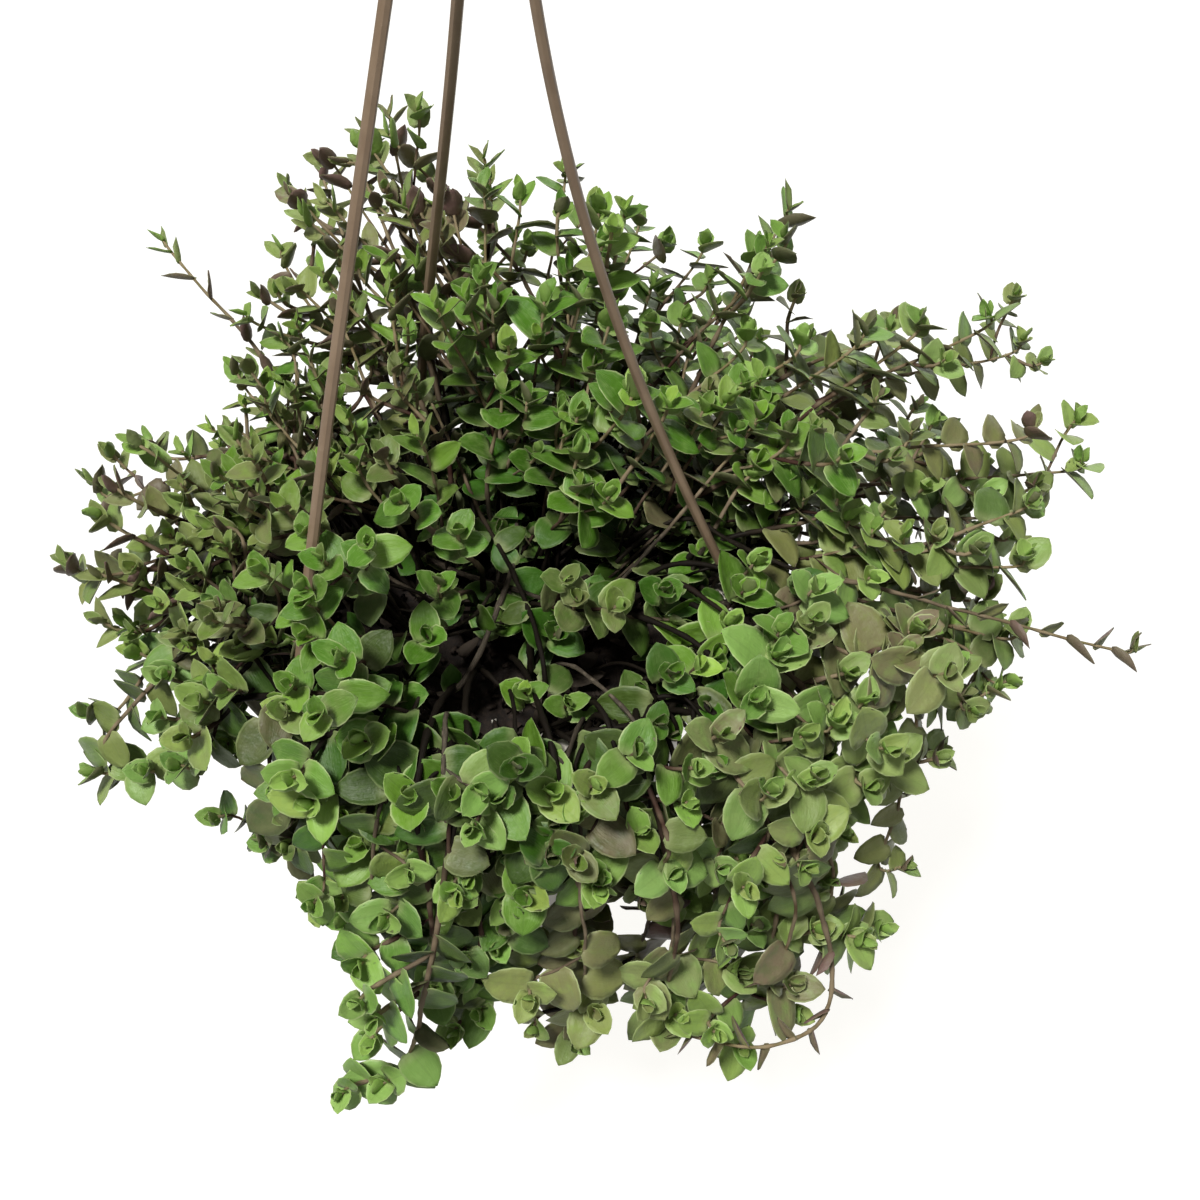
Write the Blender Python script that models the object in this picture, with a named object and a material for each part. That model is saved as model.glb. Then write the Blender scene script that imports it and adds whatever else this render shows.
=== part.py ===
"""Hanging pot of turtle vine (Callisia repens).

A round plastic pot hangs from a plastic hook by three strands. Rooted shoots rise from the soil,
spread over the rim and hang down around the pot. Metres, +Z up. The origin is the inside top of
the hook, where it rests on whatever it hangs from.
"""
import math
import random

import bmesh
import bpy
from mathutils import Matrix, Vector, noise
from mathutils.bvhtree import BVHTree

MM = 0.001
GAP = 0.3 * MM                      # between pieces that touch

# Hook and hub
HOOK_INNER_R = 12 * MM
HOOK_WIRE_R = 2.6 * MM
HOOK_END_DEG = 200                  # where the hook's arc stops, counted from +X through the top
HUB_TOP = -45 * MM
HUB_THICK = 4.5 * MM
HUB_R = 11.5 * MM
HUB_HOLE_RING_R = 6.0 * MM
HUB_EDGE = 0.8 * MM

# Strands
STRAND_WIDE = 3.44 * MM
STRAND_THICK = 2.4 * MM
STRAND_HOLE_R = 2.1 * MM
BUTTON_R = 2.9 * MM
BUTTON_TALL = 3.0 * MM
STRAND_STRAIGHT = 3 * MM            # straight run above the lip and below the hub
STRAND_STEPS = 14
# name: azimuth, then inward and sideways bow of its lower and upper thirds in mm
STRANDS = {
    "strand_left": (231, (2.5, -2.5), (0, 0.5)),
    "strand_right": (351, (-21.5, 0), (-26.5, -12)),
    "strand_back": (111, (0.5, 1), (-3.5, -9)),
}

# Pot, with its axis a little off the hook because the plant is heavier on its +X side
POT_AXIS = Vector((-12.8 * MM, 2.2 * MM, 0))
RIM_Z = -310 * MM
POT_TALL = 110 * MM
LIP_R = 80.5 * MM
LIP_THICK = 2.2 * MM
STRAND_RING_R = 75.2 * MM
NECK_R = 70 * MM
BASE_R = 52 * MM
WALL = 1.6 * MM
FLOOR_THICK = 2.2 * MM
DRAIN_HOLE_R = 3 * MM
DRAIN_RING_R = 30 * MM
DRAIN_HOLES = 6
POT_EDGE = 0.6 * MM
POT_SEGMENTS = 40

# Soil
SOIL_BELOW_RIM = 14 * MM
SOIL_DOME = 4 * MM
SOIL_ROUGH = 1.6 * MM
SOIL_LUMP_SCALE = 90                # lumps per metre, roughly
SOIL_SEGMENTS = 24

# Plant
STEM_R = 1.1 * MM
STEM_TIP_R = 0.65 * MM
LEAF_LONG = 12.5 * MM
LEAF_WIDE = 10.5 * MM
LEAF_THICK = 0.8 * MM
RIM_CLEAR_R = 88 * MM               # where stems that hang cross the lip
TIP_NODE = 2.6 * MM                 # length of the youngest internode
NODE_GROWTH = 1.55                  # each older internode is this much longer, up to NODE_LONGEST
NODE_LONGEST = 13.5 * MM
NODE_TALL = 1.4 * MM                # height of the stem face that a leaf grows from
BARE_SHARE = (0.4, 0.54)            # how much of a stem, from its foot, has lost its leaves
LINE_STEP = 0.7 * MM                # spacing of the fine line that stems are cut from
FOOT_LIFT = 0.55 * MM               # from the soil to a stem's foot, so that its corners clear lumps
ROOT_RINGS = (24 * MM, 42 * MM, 56 * MM, 33 * MM)   # how far out the shoots are rooted, in turn
TRIES = 30
SEED = 7

# Each rooted shoot: azimuth in degrees, then the tip's reach from the pot's axis, the tip's height
# over the rim and the height of the arch, in mm, and how steeply the tip faces up, in degrees.
SHOOTS = {
    "left": [
        (142, 128, 70, 34, 40), (180, 125, 4, 22, 15), (171, 119, 22, 30, 35), (165, 104, 32, 28, 45),
        (201, 120, -12, 20, 20), (207, 122, -24, 14, 25), (193, 104, 4, 26, 35), (216, 86, 16, 18, 60),
        (221, 104, -6, 16, 40), (150, 88, 46, 30, 55), (229, 93, -36, 12, 35),
    ],
    "back": [
        (128, 108, 64, 30, 60), (106, 116, 96, 45, 62), (117, 121, 78, 35, 50), (92, 104, 56, 30, 60),
        (78, 110, 80, 40, 65), (68, 126, 58, 30, 50), (60, 140, 48, 26, 45), (45, 132, 74, 36, 55),
        (98, 112, -38, 14, 15), (70, 120, -62, 12, 15), (124, 112, -60, 12, 15),
        (152, 114, -34, 12, 20), (42, 134, -36, 14, 20),
    ],
    "right": [
        (31, 150, 44, 30, 50), (25, 190, 34, 34, 35), (14, 194, 10, 30, 25), (353, 190, -6, 26, 5),
        (12, 130, 36, 30, 55), (2, 134, 14, 24, 50), (347, 140, -42, 16, 30), (334, 119, -38, 14, 40),
        (338, 138, -72, 12, 20), (325, 132, -74, 10, 25), (332, 93, 20, 22, 60),
    ],
    "front": [
        (309, 122, -104, 10, 5), (314, 113, -60, 12, 35), (297, 98, -10, 14, 50), (302, 107, -96, 10, 10),
        (286, 98, -102, 10, 5), (279, 92, -6, 16, 50), (267, 94, -28, 14, 45), (263, 102, -62, 12, 30),
        (256, 116, -92, 10, 15), (248, 97, -46, 12, 35), (252, 63, 12, 14, 65),
    ],
    "middle": [
        (304, 50, 30, 12, 65), (17, 63, 46, 20, 65), (64, 76, 54, 24, 65), (155, 42, 36, 14, 70),
        (237, 64, 54, 24, 60), (209, 68, 56, 26, 55), (122, 54, 70, 30, 65), (84, 50, 66, 30, 70),
    ],
}
# Shoots that don't run straight out: how far round the pot they start from where they end, in degrees
SWAY = {"shoot_left_11": 22, "shoot_front_01": 14, "shoot_front_09": 13, "shoot_front_10": 9}
COLOURS = {
    "hanger": ((0.105, 0.072, 0.052, 1), 0.55),
    "pot": ((0.78, 0.74, 0.64, 1), 0.45),
    "soil": ((0.030, 0.020, 0.013, 1), 0.95),
    "plant": ((0.105, 0.200, 0.055, 1), 0.45),
}


def clear_scene():
    for thing in list(bpy.data.objects):
        bpy.data.objects.remove(thing, do_unlink=True)


def material(name):
    colour, roughness = COLOURS[name]
    made = bpy.data.materials.new(name)
    made.use_nodes = True
    shader = made.node_tree.nodes["Principled BSDF"]
    shader.inputs["Base Color"].default_value = colour
    shader.inputs["Roughness"].default_value = roughness
    shader.inputs["Metallic"].default_value = 0
    return made


def add_object(name, mesh, finish, at=Vector()):
    mesh.shade_smooth()
    mesh.set_sharp_from_angle(angle=math.radians(35))
    mesh.materials.append(finish)
    made = bpy.data.objects.new(name, mesh)
    made.location = at
    bpy.context.scene.collection.objects.link(made)
    return made


def mesh_from(form, name):
    mesh = bpy.data.meshes.new(name)
    form.to_mesh(mesh)
    form.free()
    return mesh


def polar(azimuth, radius, height):
    turn = math.radians(azimuth)
    return Vector((radius * math.cos(turn), radius * math.sin(turn), height))


def blend(low, high, share):
    return low + (high - low) * share


def smooth_line(points, steps):
    """Points along a Catmull-Rom curve through the given ones."""
    ends = [points[0] * 2 - points[1], *points, points[-1] * 2 - points[-2]]
    line = []
    for before, start, end, after in zip(ends, ends[1:], ends[2:], ends[3:]):
        for step in range(steps):
            t = step / steps
            line.append(0.5 * (start * 2 + (end - before) * t
                               + (before * 2 - start * 5 + end * 4 - after) * t ** 2
                               + (start * 3 - before - end * 3 + after) * t ** 3))
    line.append(points[-1].copy())
    return line


def spaced(line, step):
    """The curve's points at an even spacing, from its last point back to its first."""
    back = [point.copy() for point in reversed(line)]
    out = [back[0]]
    left = step
    for start, end in zip(back, back[1:]):
        length = (end - start).length
        done = 0
        while length - done > left:
            done += left
            out.append(start.lerp(end, done / length))
            left = step
        left -= length - done
    return out


def frames_along(line, side):
    """A sideways and an upward unit vector at each point, turned as little as possible."""
    out = []
    for i, point in enumerate(line):
        ahead = (line[min(i + 1, len(line) - 1)] - line[max(i - 1, 0)]).normalized()
        side = (side - ahead * side.dot(ahead)).normalized()
        out.append((side, ahead.cross(side)))
    return out


def skin(form, rings):
    """Side faces between rings of vertices that have equal counts, and a cap on each end."""
    for low, high in zip(rings, rings[1:]):
        for i in range(len(low)):
            j = (i + 1) % len(low)
            form.faces.new((low[i], low[j], high[j], high[i]))
    form.faces.new(list(reversed(rings[0])))
    form.faces.new(rings[-1])


def sweep(form, line, side, outline_at):
    """A closed tube along a line. outline_at gives each point's outline in its sideways plane."""
    rings = []
    for i, (point, (across, up)) in enumerate(zip(line, frames_along(line, side))):
        rings.append([form.verts.new(point + across * x + up * y) for x, y in outline_at(i)])
    skin(form, rings)


def circle(radius, sides):
    turns = [2 * math.pi * i / sides for i in range(sides)]
    return [(radius * math.cos(t), radius * math.sin(t)) for t in turns]


def turned(profile, segments):
    """A closed turned body. The profile runs from the axis to the axis, as (radius, height)."""
    form = bmesh.new()
    ends = [form.verts.new((0, 0, profile[0][1])), form.verts.new((0, 0, profile[-1][1]))]
    rings = [[form.verts.new((r * math.cos(2 * math.pi * i / segments),
                              r * math.sin(2 * math.pi * i / segments), z))
              for i in range(segments)] for r, z in profile[1:-1]]
    for low, high in zip(rings, rings[1:]):
        for i in range(segments):
            j = (i + 1) % segments
            form.faces.new((low[i], low[j], high[j], high[i]))
    for i in range(segments):
        j = (i + 1) % segments
        form.faces.new((ends[0], rings[0][j], rings[0][i]))
        form.faces.new((ends[1], rings[-1][i], rings[-1][j]))
    return form


def boolean(target, tool, operation):
    change = target.modifiers.new(operation.lower() + "_" + tool.name, "BOOLEAN")
    change.operation = operation
    change.solver = "EXACT"
    change.object = tool
    tool.hide_render = True
    tool.display_type = "WIRE"


def hole_cutter(name, centre, radius, tall):
    form = bmesh.new()
    bmesh.ops.create_cone(form, cap_ends=True, segments=16, radius1=radius, radius2=radius, depth=tall,
                          matrix=Matrix.Translation(centre))
    cutter = bpy.data.objects.new(name, mesh_from(form, name))
    bpy.context.scene.collection.objects.link(cutter)
    return cutter


def hook_line():
    middle = Vector((0, 0, -HOOK_INNER_R))
    radius = HOOK_INNER_R + HOOK_WIRE_R
    points = [Vector((0, 0, HUB_TOP - 2 * MM)), Vector((0, 0, HUB_TOP + 8 * MM)),
              Vector((1.5 * MM, 0, middle.z - radius - 3 * MM))]
    for turn in range(-45, HOOK_END_DEG + 1, 35):
        angle = math.radians(turn)
        points.append(middle + Vector((radius * math.cos(angle), 0, radius * math.sin(angle))))
    flare = Vector((-1.5 * MM, 0, -2.5 * MM))
    points.append(points[-1] + flare)
    return smooth_line(points, 3)


def build_hook(finish):
    form = bmesh.new()
    sweep(form, hook_line(), Vector((0, 1, 0)), lambda i: circle(HOOK_WIRE_R, 8))
    wire = bpy.data.objects.new("hook_wire", mesh_from(form, "hook_wire"))
    bpy.context.scene.collection.objects.link(wire)
    bottom = HUB_TOP - HUB_THICK
    profile = [(0, bottom), (HUB_R - HUB_EDGE, bottom), (HUB_R, bottom + HUB_EDGE),
               (HUB_R, HUB_TOP - HUB_EDGE), (HUB_R - HUB_EDGE, HUB_TOP), (0, HUB_TOP)]
    hub = add_object("hook", mesh_from(turned(profile, 32), "hook"), finish)
    for number, (azimuth, _, _) in enumerate(STRANDS.values()):
        centre = polar(azimuth, HUB_HOLE_RING_R, HUB_TOP - HUB_THICK / 2)
        boolean(hub, hole_cutter(f"hub_hole_{number}", centre, STRAND_HOLE_R, 3 * HUB_THICK), "DIFFERENCE")
    boolean(hub, wire, "UNION")


def strand_line(azimuth, low_bow, high_bow):
    """Straight through the lip, a bowed run, and straight through the hub."""
    out = polar(azimuth, 1, 0)
    across = polar(azimuth + 90, 1, 0)
    low = POT_AXIS + out * STRAND_RING_R
    high = out * HUB_HOLE_RING_R
    lip_run = [low + Vector((0, 0, RIM_Z + height)) for height in (-LIP_THICK - GAP, 0)]
    hub_run = [high + Vector((0, 0, HUB_TOP + height)) for height in (-HUB_THICK, GAP)]
    start = lip_run[-1] + Vector((0, 0, STRAND_STRAIGHT))
    end = hub_run[0] - Vector((0, 0, STRAND_STRAIGHT))
    pull = [start + (end - start) / 3 + (out * low_bow[0] + across * low_bow[1]) * MM,
            start + (end - start) * 2 / 3 + (out * high_bow[0] + across * high_bow[1]) * MM]
    run = []
    for step in range(STRAND_STEPS + 1):
        t = step / STRAND_STEPS
        run.append(start * (1 - t) ** 3 + pull[0] * 3 * t * (1 - t) ** 2
                   + pull[1] * 3 * t ** 2 * (1 - t) + end * t ** 3)
    return lip_run + run + hub_run


def build_strand(name, azimuth, low_bow, high_bow, finish):
    """A strand of flat six-sided section, with a button on each end that holds it in its hole."""
    line = strand_line(azimuth, low_bow, high_bow)
    tall = Vector((0, 0, BUTTON_TALL))
    line = [line[0] - tall, line[0] - tall * 0.6, line[0] - tall * 0.01, *line,
            line[-1] + tall * 0.01, line[-1] + tall * 0.6, line[-1] + tall]
    scale = {0: 0.55, 1: 1, 2: 1, len(line) - 3: 1, len(line) - 2: 1, len(line) - 1: 0.55}
    wide = STRAND_WIDE / 2
    thick = STRAND_THICK / 2
    section = [(wide, 0), (wide * 0.6, thick), (-wide * 0.6, thick), (-wide, 0),
               (-wide * 0.6, -thick), (wide * 0.6, -thick)]
    button = circle(BUTTON_R, len(section))

    def outline(i):
        if i in scale:
            return [(x * scale[i], y * scale[i]) for x, y in button]
        return section

    form = bmesh.new()
    sweep(form, line, polar(azimuth + 90, 1, 0), outline)
    return add_object(name, mesh_from(form, name), finish)


def build_pot(finish):
    top = RIM_Z
    base = RIM_Z - POT_TALL
    under = top - LIP_THICK
    edge = POT_EDGE
    profile = [
        (0, base), (BASE_R - 2 * edge, base), (BASE_R, base + 2 * edge), (NECK_R, under),
        (LIP_R - edge, under), (LIP_R, under + edge), (LIP_R, top - edge), (LIP_R - edge, top),
        (NECK_R - WALL + edge, top), (NECK_R - WALL, top - edge),
        (BASE_R - WALL, base + FLOOR_THICK + 2 * edge), (BASE_R - WALL - 2 * edge, base + FLOOR_THICK),
        (0, base + FLOOR_THICK),
    ]
    pot = add_object("pot", mesh_from(turned(profile, POT_SEGMENTS), "pot"), finish, POT_AXIS)
    for number, (azimuth, _, _) in enumerate(STRANDS.values()):
        centre = POT_AXIS + polar(azimuth, STRAND_RING_R, top - LIP_THICK / 2)
        boolean(pot, hole_cutter(f"lip_hole_{number}", centre, STRAND_HOLE_R, 3 * LIP_THICK), "DIFFERENCE")
    for number in range(DRAIN_HOLES):
        centre = POT_AXIS + polar(360 * (number + 0.2) / DRAIN_HOLES, DRAIN_RING_R, base + FLOOR_THICK / 2)
        boolean(pot, hole_cutter(f"drain_{number}", centre, DRAIN_HOLE_R, 3 * FLOOR_THICK), "DIFFERENCE")


def inner_radius(height):
    """The pot's inside radius at a height over its base."""
    low = FLOOR_THICK + 1.2 * MM
    return blend(BASE_R - WALL, NECK_R - WALL, (height - low) / (POT_TALL - low))


def soil_height(x, y):
    """The height of the soil's top at a place measured from the pot's axis."""
    full = inner_radius(POT_TALL - SOIL_BELOW_RIM)
    dome = SOIL_DOME * max(0, 1 - math.hypot(x, y) / full)
    rough = noise.noise(Vector((x, y, 0)) * SOIL_LUMP_SCALE) * SOIL_ROUGH
    return RIM_Z - SOIL_BELOW_RIM + dome + rough


def build_soil(finish):
    """A plug of soil with a rough, slightly domed top."""
    floor = FLOOR_THICK + GAP
    top_r = inner_radius(POT_TALL - SOIL_BELOW_RIM - 2 * SOIL_ROUGH) - 2 * GAP
    base_r = inner_radius(floor) - 4 * GAP
    form = turned([(0, RIM_Z - POT_TALL + floor), (base_r, RIM_Z - POT_TALL + floor),
                   *[(top_r * share, 0) for share in (1, 0.8, 0.6, 0.4, 0.2)], (0, 0)], SOIL_SEGMENTS)
    for vert in form.verts:
        if vert.co.z == 0:
            vert.co.z = soil_height(vert.co.x, vert.co.y)
    return add_object("soil", mesh_from(form, "soil"), finish, POT_AXIS)


def tree_of_object(thing):
    depsgraph = bpy.context.evaluated_depsgraph_get()
    form = bmesh.new()
    form.from_mesh(thing.evaluated_get(depsgraph).data)
    form.transform(thing.matrix_world)
    tree = BVHTree.FromBMesh(form)
    form.free()
    return tree


def shoot_route(azimuth, reach, height, arch, facing, sway, root_r, soil):
    """A shoot's stem from the soil to its tip, as a few points measured in the row's frame."""
    reach, height, arch = reach * MM, height * MM, arch * MM
    start = azimuth + sway
    root = POT_AXIS + polar(start, root_r, RIM_Z)
    hit = soil.ray_cast(root, Vector((0, 0, -1)))[0]
    foot = hit + Vector((0, 0, FOOT_LIFT))
    tip = POT_AXIS + polar(azimuth, reach, RIM_Z + height)
    up = math.radians(facing)
    face = polar(azimuth - 2 * sway, math.cos(up), math.sin(up))
    points = [foot, foot + Vector((0, 0, 3 * MM))]
    if height < 12 * MM and reach > LIP_R:
        points.append(POT_AXIS + polar(start, blend(root_r, RIM_CLEAR_R, 0.5), RIM_Z + arch))
        points.append(POT_AXIS + polar(start, RIM_CLEAR_R, RIM_Z + max(7 * MM, arch * 0.7)))
        if height < -20 * MM:
            bulge = max(RIM_CLEAR_R + 2 * MM, blend(RIM_CLEAR_R, reach, 0.8))
            points.append(POT_AXIS + polar(azimuth + sway * 0.6, bulge, RIM_Z + height * 0.5))
    else:
        lift = max(arch, height * 0.45)
        points.append(POT_AXIS + polar(start, blend(root_r, reach, 0.45), RIM_Z + lift))
    points.append(tip - face * 9 * MM)
    points.append(tip)
    return points


def leaf_rings(corners, centre, out, ahead, size):
    """The rings of four points that widen a stem's side face into a flat, pointed oval leaf."""
    across = (corners[1] - corners[0]).normalized()
    blade = (out + ahead * 0.75).normalized()
    thick = blade.cross(across).normalized() * LEAF_THICK / 2
    if thick.dot(ahead) < 0:
        thick = -thick
    rings = []
    for along, wide in ((0.2, 0.34), (0.55, 0.5), (1, 0.05)):
        middle = centre + blade * LEAF_LONG * size * along
        half = across * LEAF_WIDE * size * wide
        rings.append([middle - half - thick, middle + half - thick,
                      middle + half + thick, middle - half + thick])
    return rings


def leaf_probe(rings, corners, out):
    """The leaf as a closed test body, a gap's width larger all round."""
    form = bmesh.new()
    start = [corner + out * 2 * GAP for corner in corners]
    rings = [start, *rings]
    middles = [sum(ring, Vector()) / 4 for ring in rings]
    grown = []
    for ring, middle in zip(rings, middles):
        thick = (ring[3] - ring[0]).normalized()
        across = (ring[1] - ring[0]).normalized()
        signs = ((-1, -1), (1, -1), (1, 1), (-1, 1))
        grown.append([point + across * GAP * 1.5 * a + thick * GAP * 1.5 * b
                      for point, (a, b) in zip(ring, signs)])
    skin(form, [[form.verts.new(point) for point in ring] for ring in grown])
    tree = BVHTree.FromBMesh(form)
    form.free()
    return tree


def leaf_places(total, bare):
    """Distances from a stem's foot to its leaf nodes, the youngest first."""
    places = []
    back = 1.2 * MM
    internode = TIP_NODE
    while total - back > bare:
        places.append(total - back)
        back += internode
        internode = min(internode * NODE_GROWTH, NODE_LONGEST)
    return places


def point_at(line, distance):
    """The place at a distance along a line whose points are LINE_STEP apart."""
    place = min(distance / LINE_STEP, len(line) - 1.001)
    low = int(place)
    return line[low].lerp(line[low + 1], place - low)


def build_shoot(name, points, chance, taken, finish):
    """A stem of square section whose leaves grow out of its side faces, as one closed body."""
    fine = list(reversed(spaced(smooth_line(points, 8), LINE_STEP)))
    total = (len(fine) - 1) * LINE_STEP
    leaves = leaf_places(total, total * chance.uniform(*BARE_SHARE))
    cuts = {0.0, total}
    for place in leaves:
        cuts.update((place - NODE_TALL / 2, place + NODE_TALL / 2))
    bare = min(leaves) - NODE_TALL / 2
    plain = max(2, round(bare / (12 * MM)))
    cuts.update(bare * i / plain for i in range(1, plain))
    cuts = sorted(cuts)
    line = [point_at(fine, cut) for cut in cuts]
    form = bmesh.new()
    rings = []
    frames = frames_along(line, polar(chance.uniform(0, 360), 1, 0))
    for cut, point, (across, up) in zip(cuts, line, frames):
        radius = blend(STEM_R, STEM_TIP_R, cut / total)
        rings.append([form.verts.new(point + across * x + up * y) for x, y in circle(radius, 4)])
    skin(form, rings)
    stem = BVHTree.FromBMesh(form)
    placed = []
    if not any(stem.overlap(other) for other in taken):
        for number, place in enumerate(leaves):
            index = cuts.index(place - NODE_TALL / 2)
            size = min(1, 0.55 + 0.16 * number) * chance.uniform(0.88, 1.08)
            spread = blend(0.25, 0.95, max(0, 1 - 1.6 * number / len(leaves)))
            order = (number * 2 + number // 2) % 4
            for i in (order, (order + 1) % 4, (order + 3) % 4):
                corners = [rings[index][i], rings[index][(i + 1) % 4],
                           rings[index + 1][(i + 1) % 4], rings[index + 1][i]]
                ahead = (line[index + 1] - line[index]).normalized()
                if grow_leaf(form, corners, ahead, spread, size, taken, placed):
                    break
    if placed:
        return add_object(name, mesh_from(form, name), finish)
    form.free()
    return None


def grow_leaf(form, corner_verts, ahead, lean, size, taken, placed):
    """Replace a side face of the stem by a leaf, unless the leaf would come too near anything."""
    corners = [vert.co.copy() for vert in corner_verts]
    centre = sum(corners, Vector()) / 4
    out = (corners[1] - corners[0]).cross(corners[3] - corners[0]).normalized()
    rings = leaf_rings(corners, centre, out, ahead * lean, size)
    probe = leaf_probe(rings, corners, out)
    if any(probe.overlap(other) for other in taken + placed):
        return False
    body = bmesh.new()
    skin(body, [[body.verts.new(point) for point in ring] for ring in rings])
    placed.append(BVHTree.FromBMesh(body))
    body.free()
    form.faces.remove(form.faces.get(corner_verts))
    last = list(corner_verts)
    for ring in rings:
        fresh = [form.verts.new(point) for point in ring]
        for i in range(4):
            j = (i + 1) % 4
            form.faces.new((last[i], last[j], fresh[j], fresh[i]))
        last = fresh
    form.faces.new(last)
    return True


def build_plant(finish, soil, others):
    """Every rooted shoot, each clear of the pot, the strands and the shoots before it."""
    chance = random.Random(SEED)
    taken = [tree_of_object(thing) for thing in others]
    number = 0
    for side, shoots in SHOOTS.items():
        for count, (azimuth, reach, height, arch, facing) in enumerate(shoots, 1):
            number += 1
            name = f"shoot_{side}_{count:02d}"
            for attempt in range(TRIES):
                wander = attempt * 0.6
                root_r = ROOT_RINGS[(number + attempt) % len(ROOT_RINGS)] * min(1, reach * MM / LIP_R)
                route = shoot_route(azimuth + chance.uniform(-wander, wander), reach, height,
                                    arch + chance.uniform(0, wander), facing, SWAY.get(name, 0),
                                    root_r, soil)
                made = build_shoot(name, route, chance, taken, finish)
                if made:
                    taken.append(tree_of_object(made))
                    break


def main():
    clear_scene()
    finishes = {name: material(name) for name in COLOURS}
    build_hook(finishes["hanger"])
    build_pot(finishes["pot"])
    soil = build_soil(finishes["soil"])
    strands = [build_strand(name, *shape, finishes["hanger"]) for name, shape in STRANDS.items()]
    bpy.context.view_layer.update()
    pot = bpy.data.objects["pot"]
    build_plant(finishes["plant"], tree_of_object(soil), [pot, soil, *strands])


main()
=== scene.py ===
"""Looks of the hanging pot of turtle vine: fine shoots, leaves, pot, soil and hanger on the CAD frame."""
import itertools
import math
import random

import bmesh
import bpy
import numpy as np
from mathutils import Matrix, Vector, noise


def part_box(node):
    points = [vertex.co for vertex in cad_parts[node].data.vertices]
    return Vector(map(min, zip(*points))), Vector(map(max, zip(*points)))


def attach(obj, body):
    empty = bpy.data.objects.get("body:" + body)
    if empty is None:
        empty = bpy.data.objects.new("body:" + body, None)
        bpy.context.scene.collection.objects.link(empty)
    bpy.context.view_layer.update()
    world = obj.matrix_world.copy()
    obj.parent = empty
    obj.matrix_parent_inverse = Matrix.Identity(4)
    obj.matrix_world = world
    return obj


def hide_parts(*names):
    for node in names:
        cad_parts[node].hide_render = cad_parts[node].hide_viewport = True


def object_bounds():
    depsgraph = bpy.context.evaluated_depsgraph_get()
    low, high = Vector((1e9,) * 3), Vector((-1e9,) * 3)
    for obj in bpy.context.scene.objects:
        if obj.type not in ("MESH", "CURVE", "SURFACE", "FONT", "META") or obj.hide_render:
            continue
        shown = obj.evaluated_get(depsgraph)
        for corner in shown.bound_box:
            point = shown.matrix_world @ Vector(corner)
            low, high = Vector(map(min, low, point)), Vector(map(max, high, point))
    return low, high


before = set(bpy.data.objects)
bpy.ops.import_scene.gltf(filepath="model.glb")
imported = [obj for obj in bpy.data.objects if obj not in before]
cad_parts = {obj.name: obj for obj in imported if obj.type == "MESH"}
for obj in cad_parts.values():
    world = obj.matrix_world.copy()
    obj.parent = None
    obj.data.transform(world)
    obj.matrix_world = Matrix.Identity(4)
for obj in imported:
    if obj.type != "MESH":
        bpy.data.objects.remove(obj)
cad_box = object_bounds()

MM = 0.001
BOX_LOW, BOX_HIGH = (Vector(corner) for corner in cad_box)
BOX_MARGIN = 0.018 * (BOX_HIGH - BOX_LOW)

# Places that the CAD frame gives
POT_LOW, POT_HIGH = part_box("pot")
RIM = Vector(((POT_LOW.x + POT_HIGH.x) / 2, (POT_LOW.y + POT_HIGH.y) / 2, POT_HIGH.z))
AXIS = Vector((RIM.x, RIM.y, 0))
LIP_R = (POT_HIGH.x - POT_LOW.x) / 2
POT_TALL = POT_HIGH.z - POT_LOW.z
SOIL_LOW, SOIL_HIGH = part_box("soil")
# Where leaves keep off the pot
INSIDE_R = 66 * MM                  # up to here they stand over the soil
WALL_R = 72 * MM                    # beyond this they hang outside the wall, at the rim's height
WALL_FLARE = 0.165                  # and how fast that narrows downward
LIP_CLEAR = 2.5 * MM

# Camera and light
CAMERA_FROM_RIM = Vector((34 * MM, -316 * MM, 276 * MM))
CAMERA_PITCH = 42
CAMERA_LENS = 42
FLOOR_DROP = 90 * MM
FLOOR_SIDE = 12
# How strongly the surround lights the plant from low down and from high up
WORLD_LOW_HIGH = (0.43, 0.24)
# Each lamp's name, strength, softness in degrees and the way its light travels
SUNS = [("soft_key", 3.95, 12, (0.28, 0.42, -1)), ("soft_fill", 0.9, 45, (-0.35, -0.9, -0.34))]

# Plant
LEAF_LONG = 13.0 * MM
LEAF_WIDE = 11.6 * MM
LEAF_THICK = 0.34 * MM
STEM_R = 0.66 * MM
STEM_TIP_R = 0.36 * MM
STEM_SIDES = 6
STEM_RING_EVERY = 5
RIM_CLEAR_R = 86 * MM
ROOT_RINGS = (24 * MM, 42 * MM, 56 * MM, 33 * MM)
FRONT_ROOTS = (60 * MM, 62 * MM, 57 * MM)
LINE_STEP = 0.5 * MM
ROSETTE = 4                         # leaves round a tip, which grow over the open middle too
HANGING_LOSS = 0.32                 # the share of its older leaves that a hanging stem has lost
STRAIGHT_TIP = 9                    # mm
FIRST_INTERNODE = (0.75, 1.7)       # mm, on a broad shoot and on a thin one
LONGEST_INTERNODE = 6.6 * MM
YOUNGEST_SIZE = 0.42                # of a grown leaf
OPEN_LEAF = 4.2                     # a leaf's number from the tip when it is open
GROWN_LEAF = 4.5                    # and when it is full-grown
SPREAD_AT_TIP = 10                  # degrees between the stem and its youngest leaf
ROLLED_CUP = 620                    # a rolled leaf's curvature across, per metre
LITTLE_LEAF_GAP = 4.2 * MM
GROWN_LEAF_GAP = 6.2 * MM
SEED = 11
NOISE_SEED = 1

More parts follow.
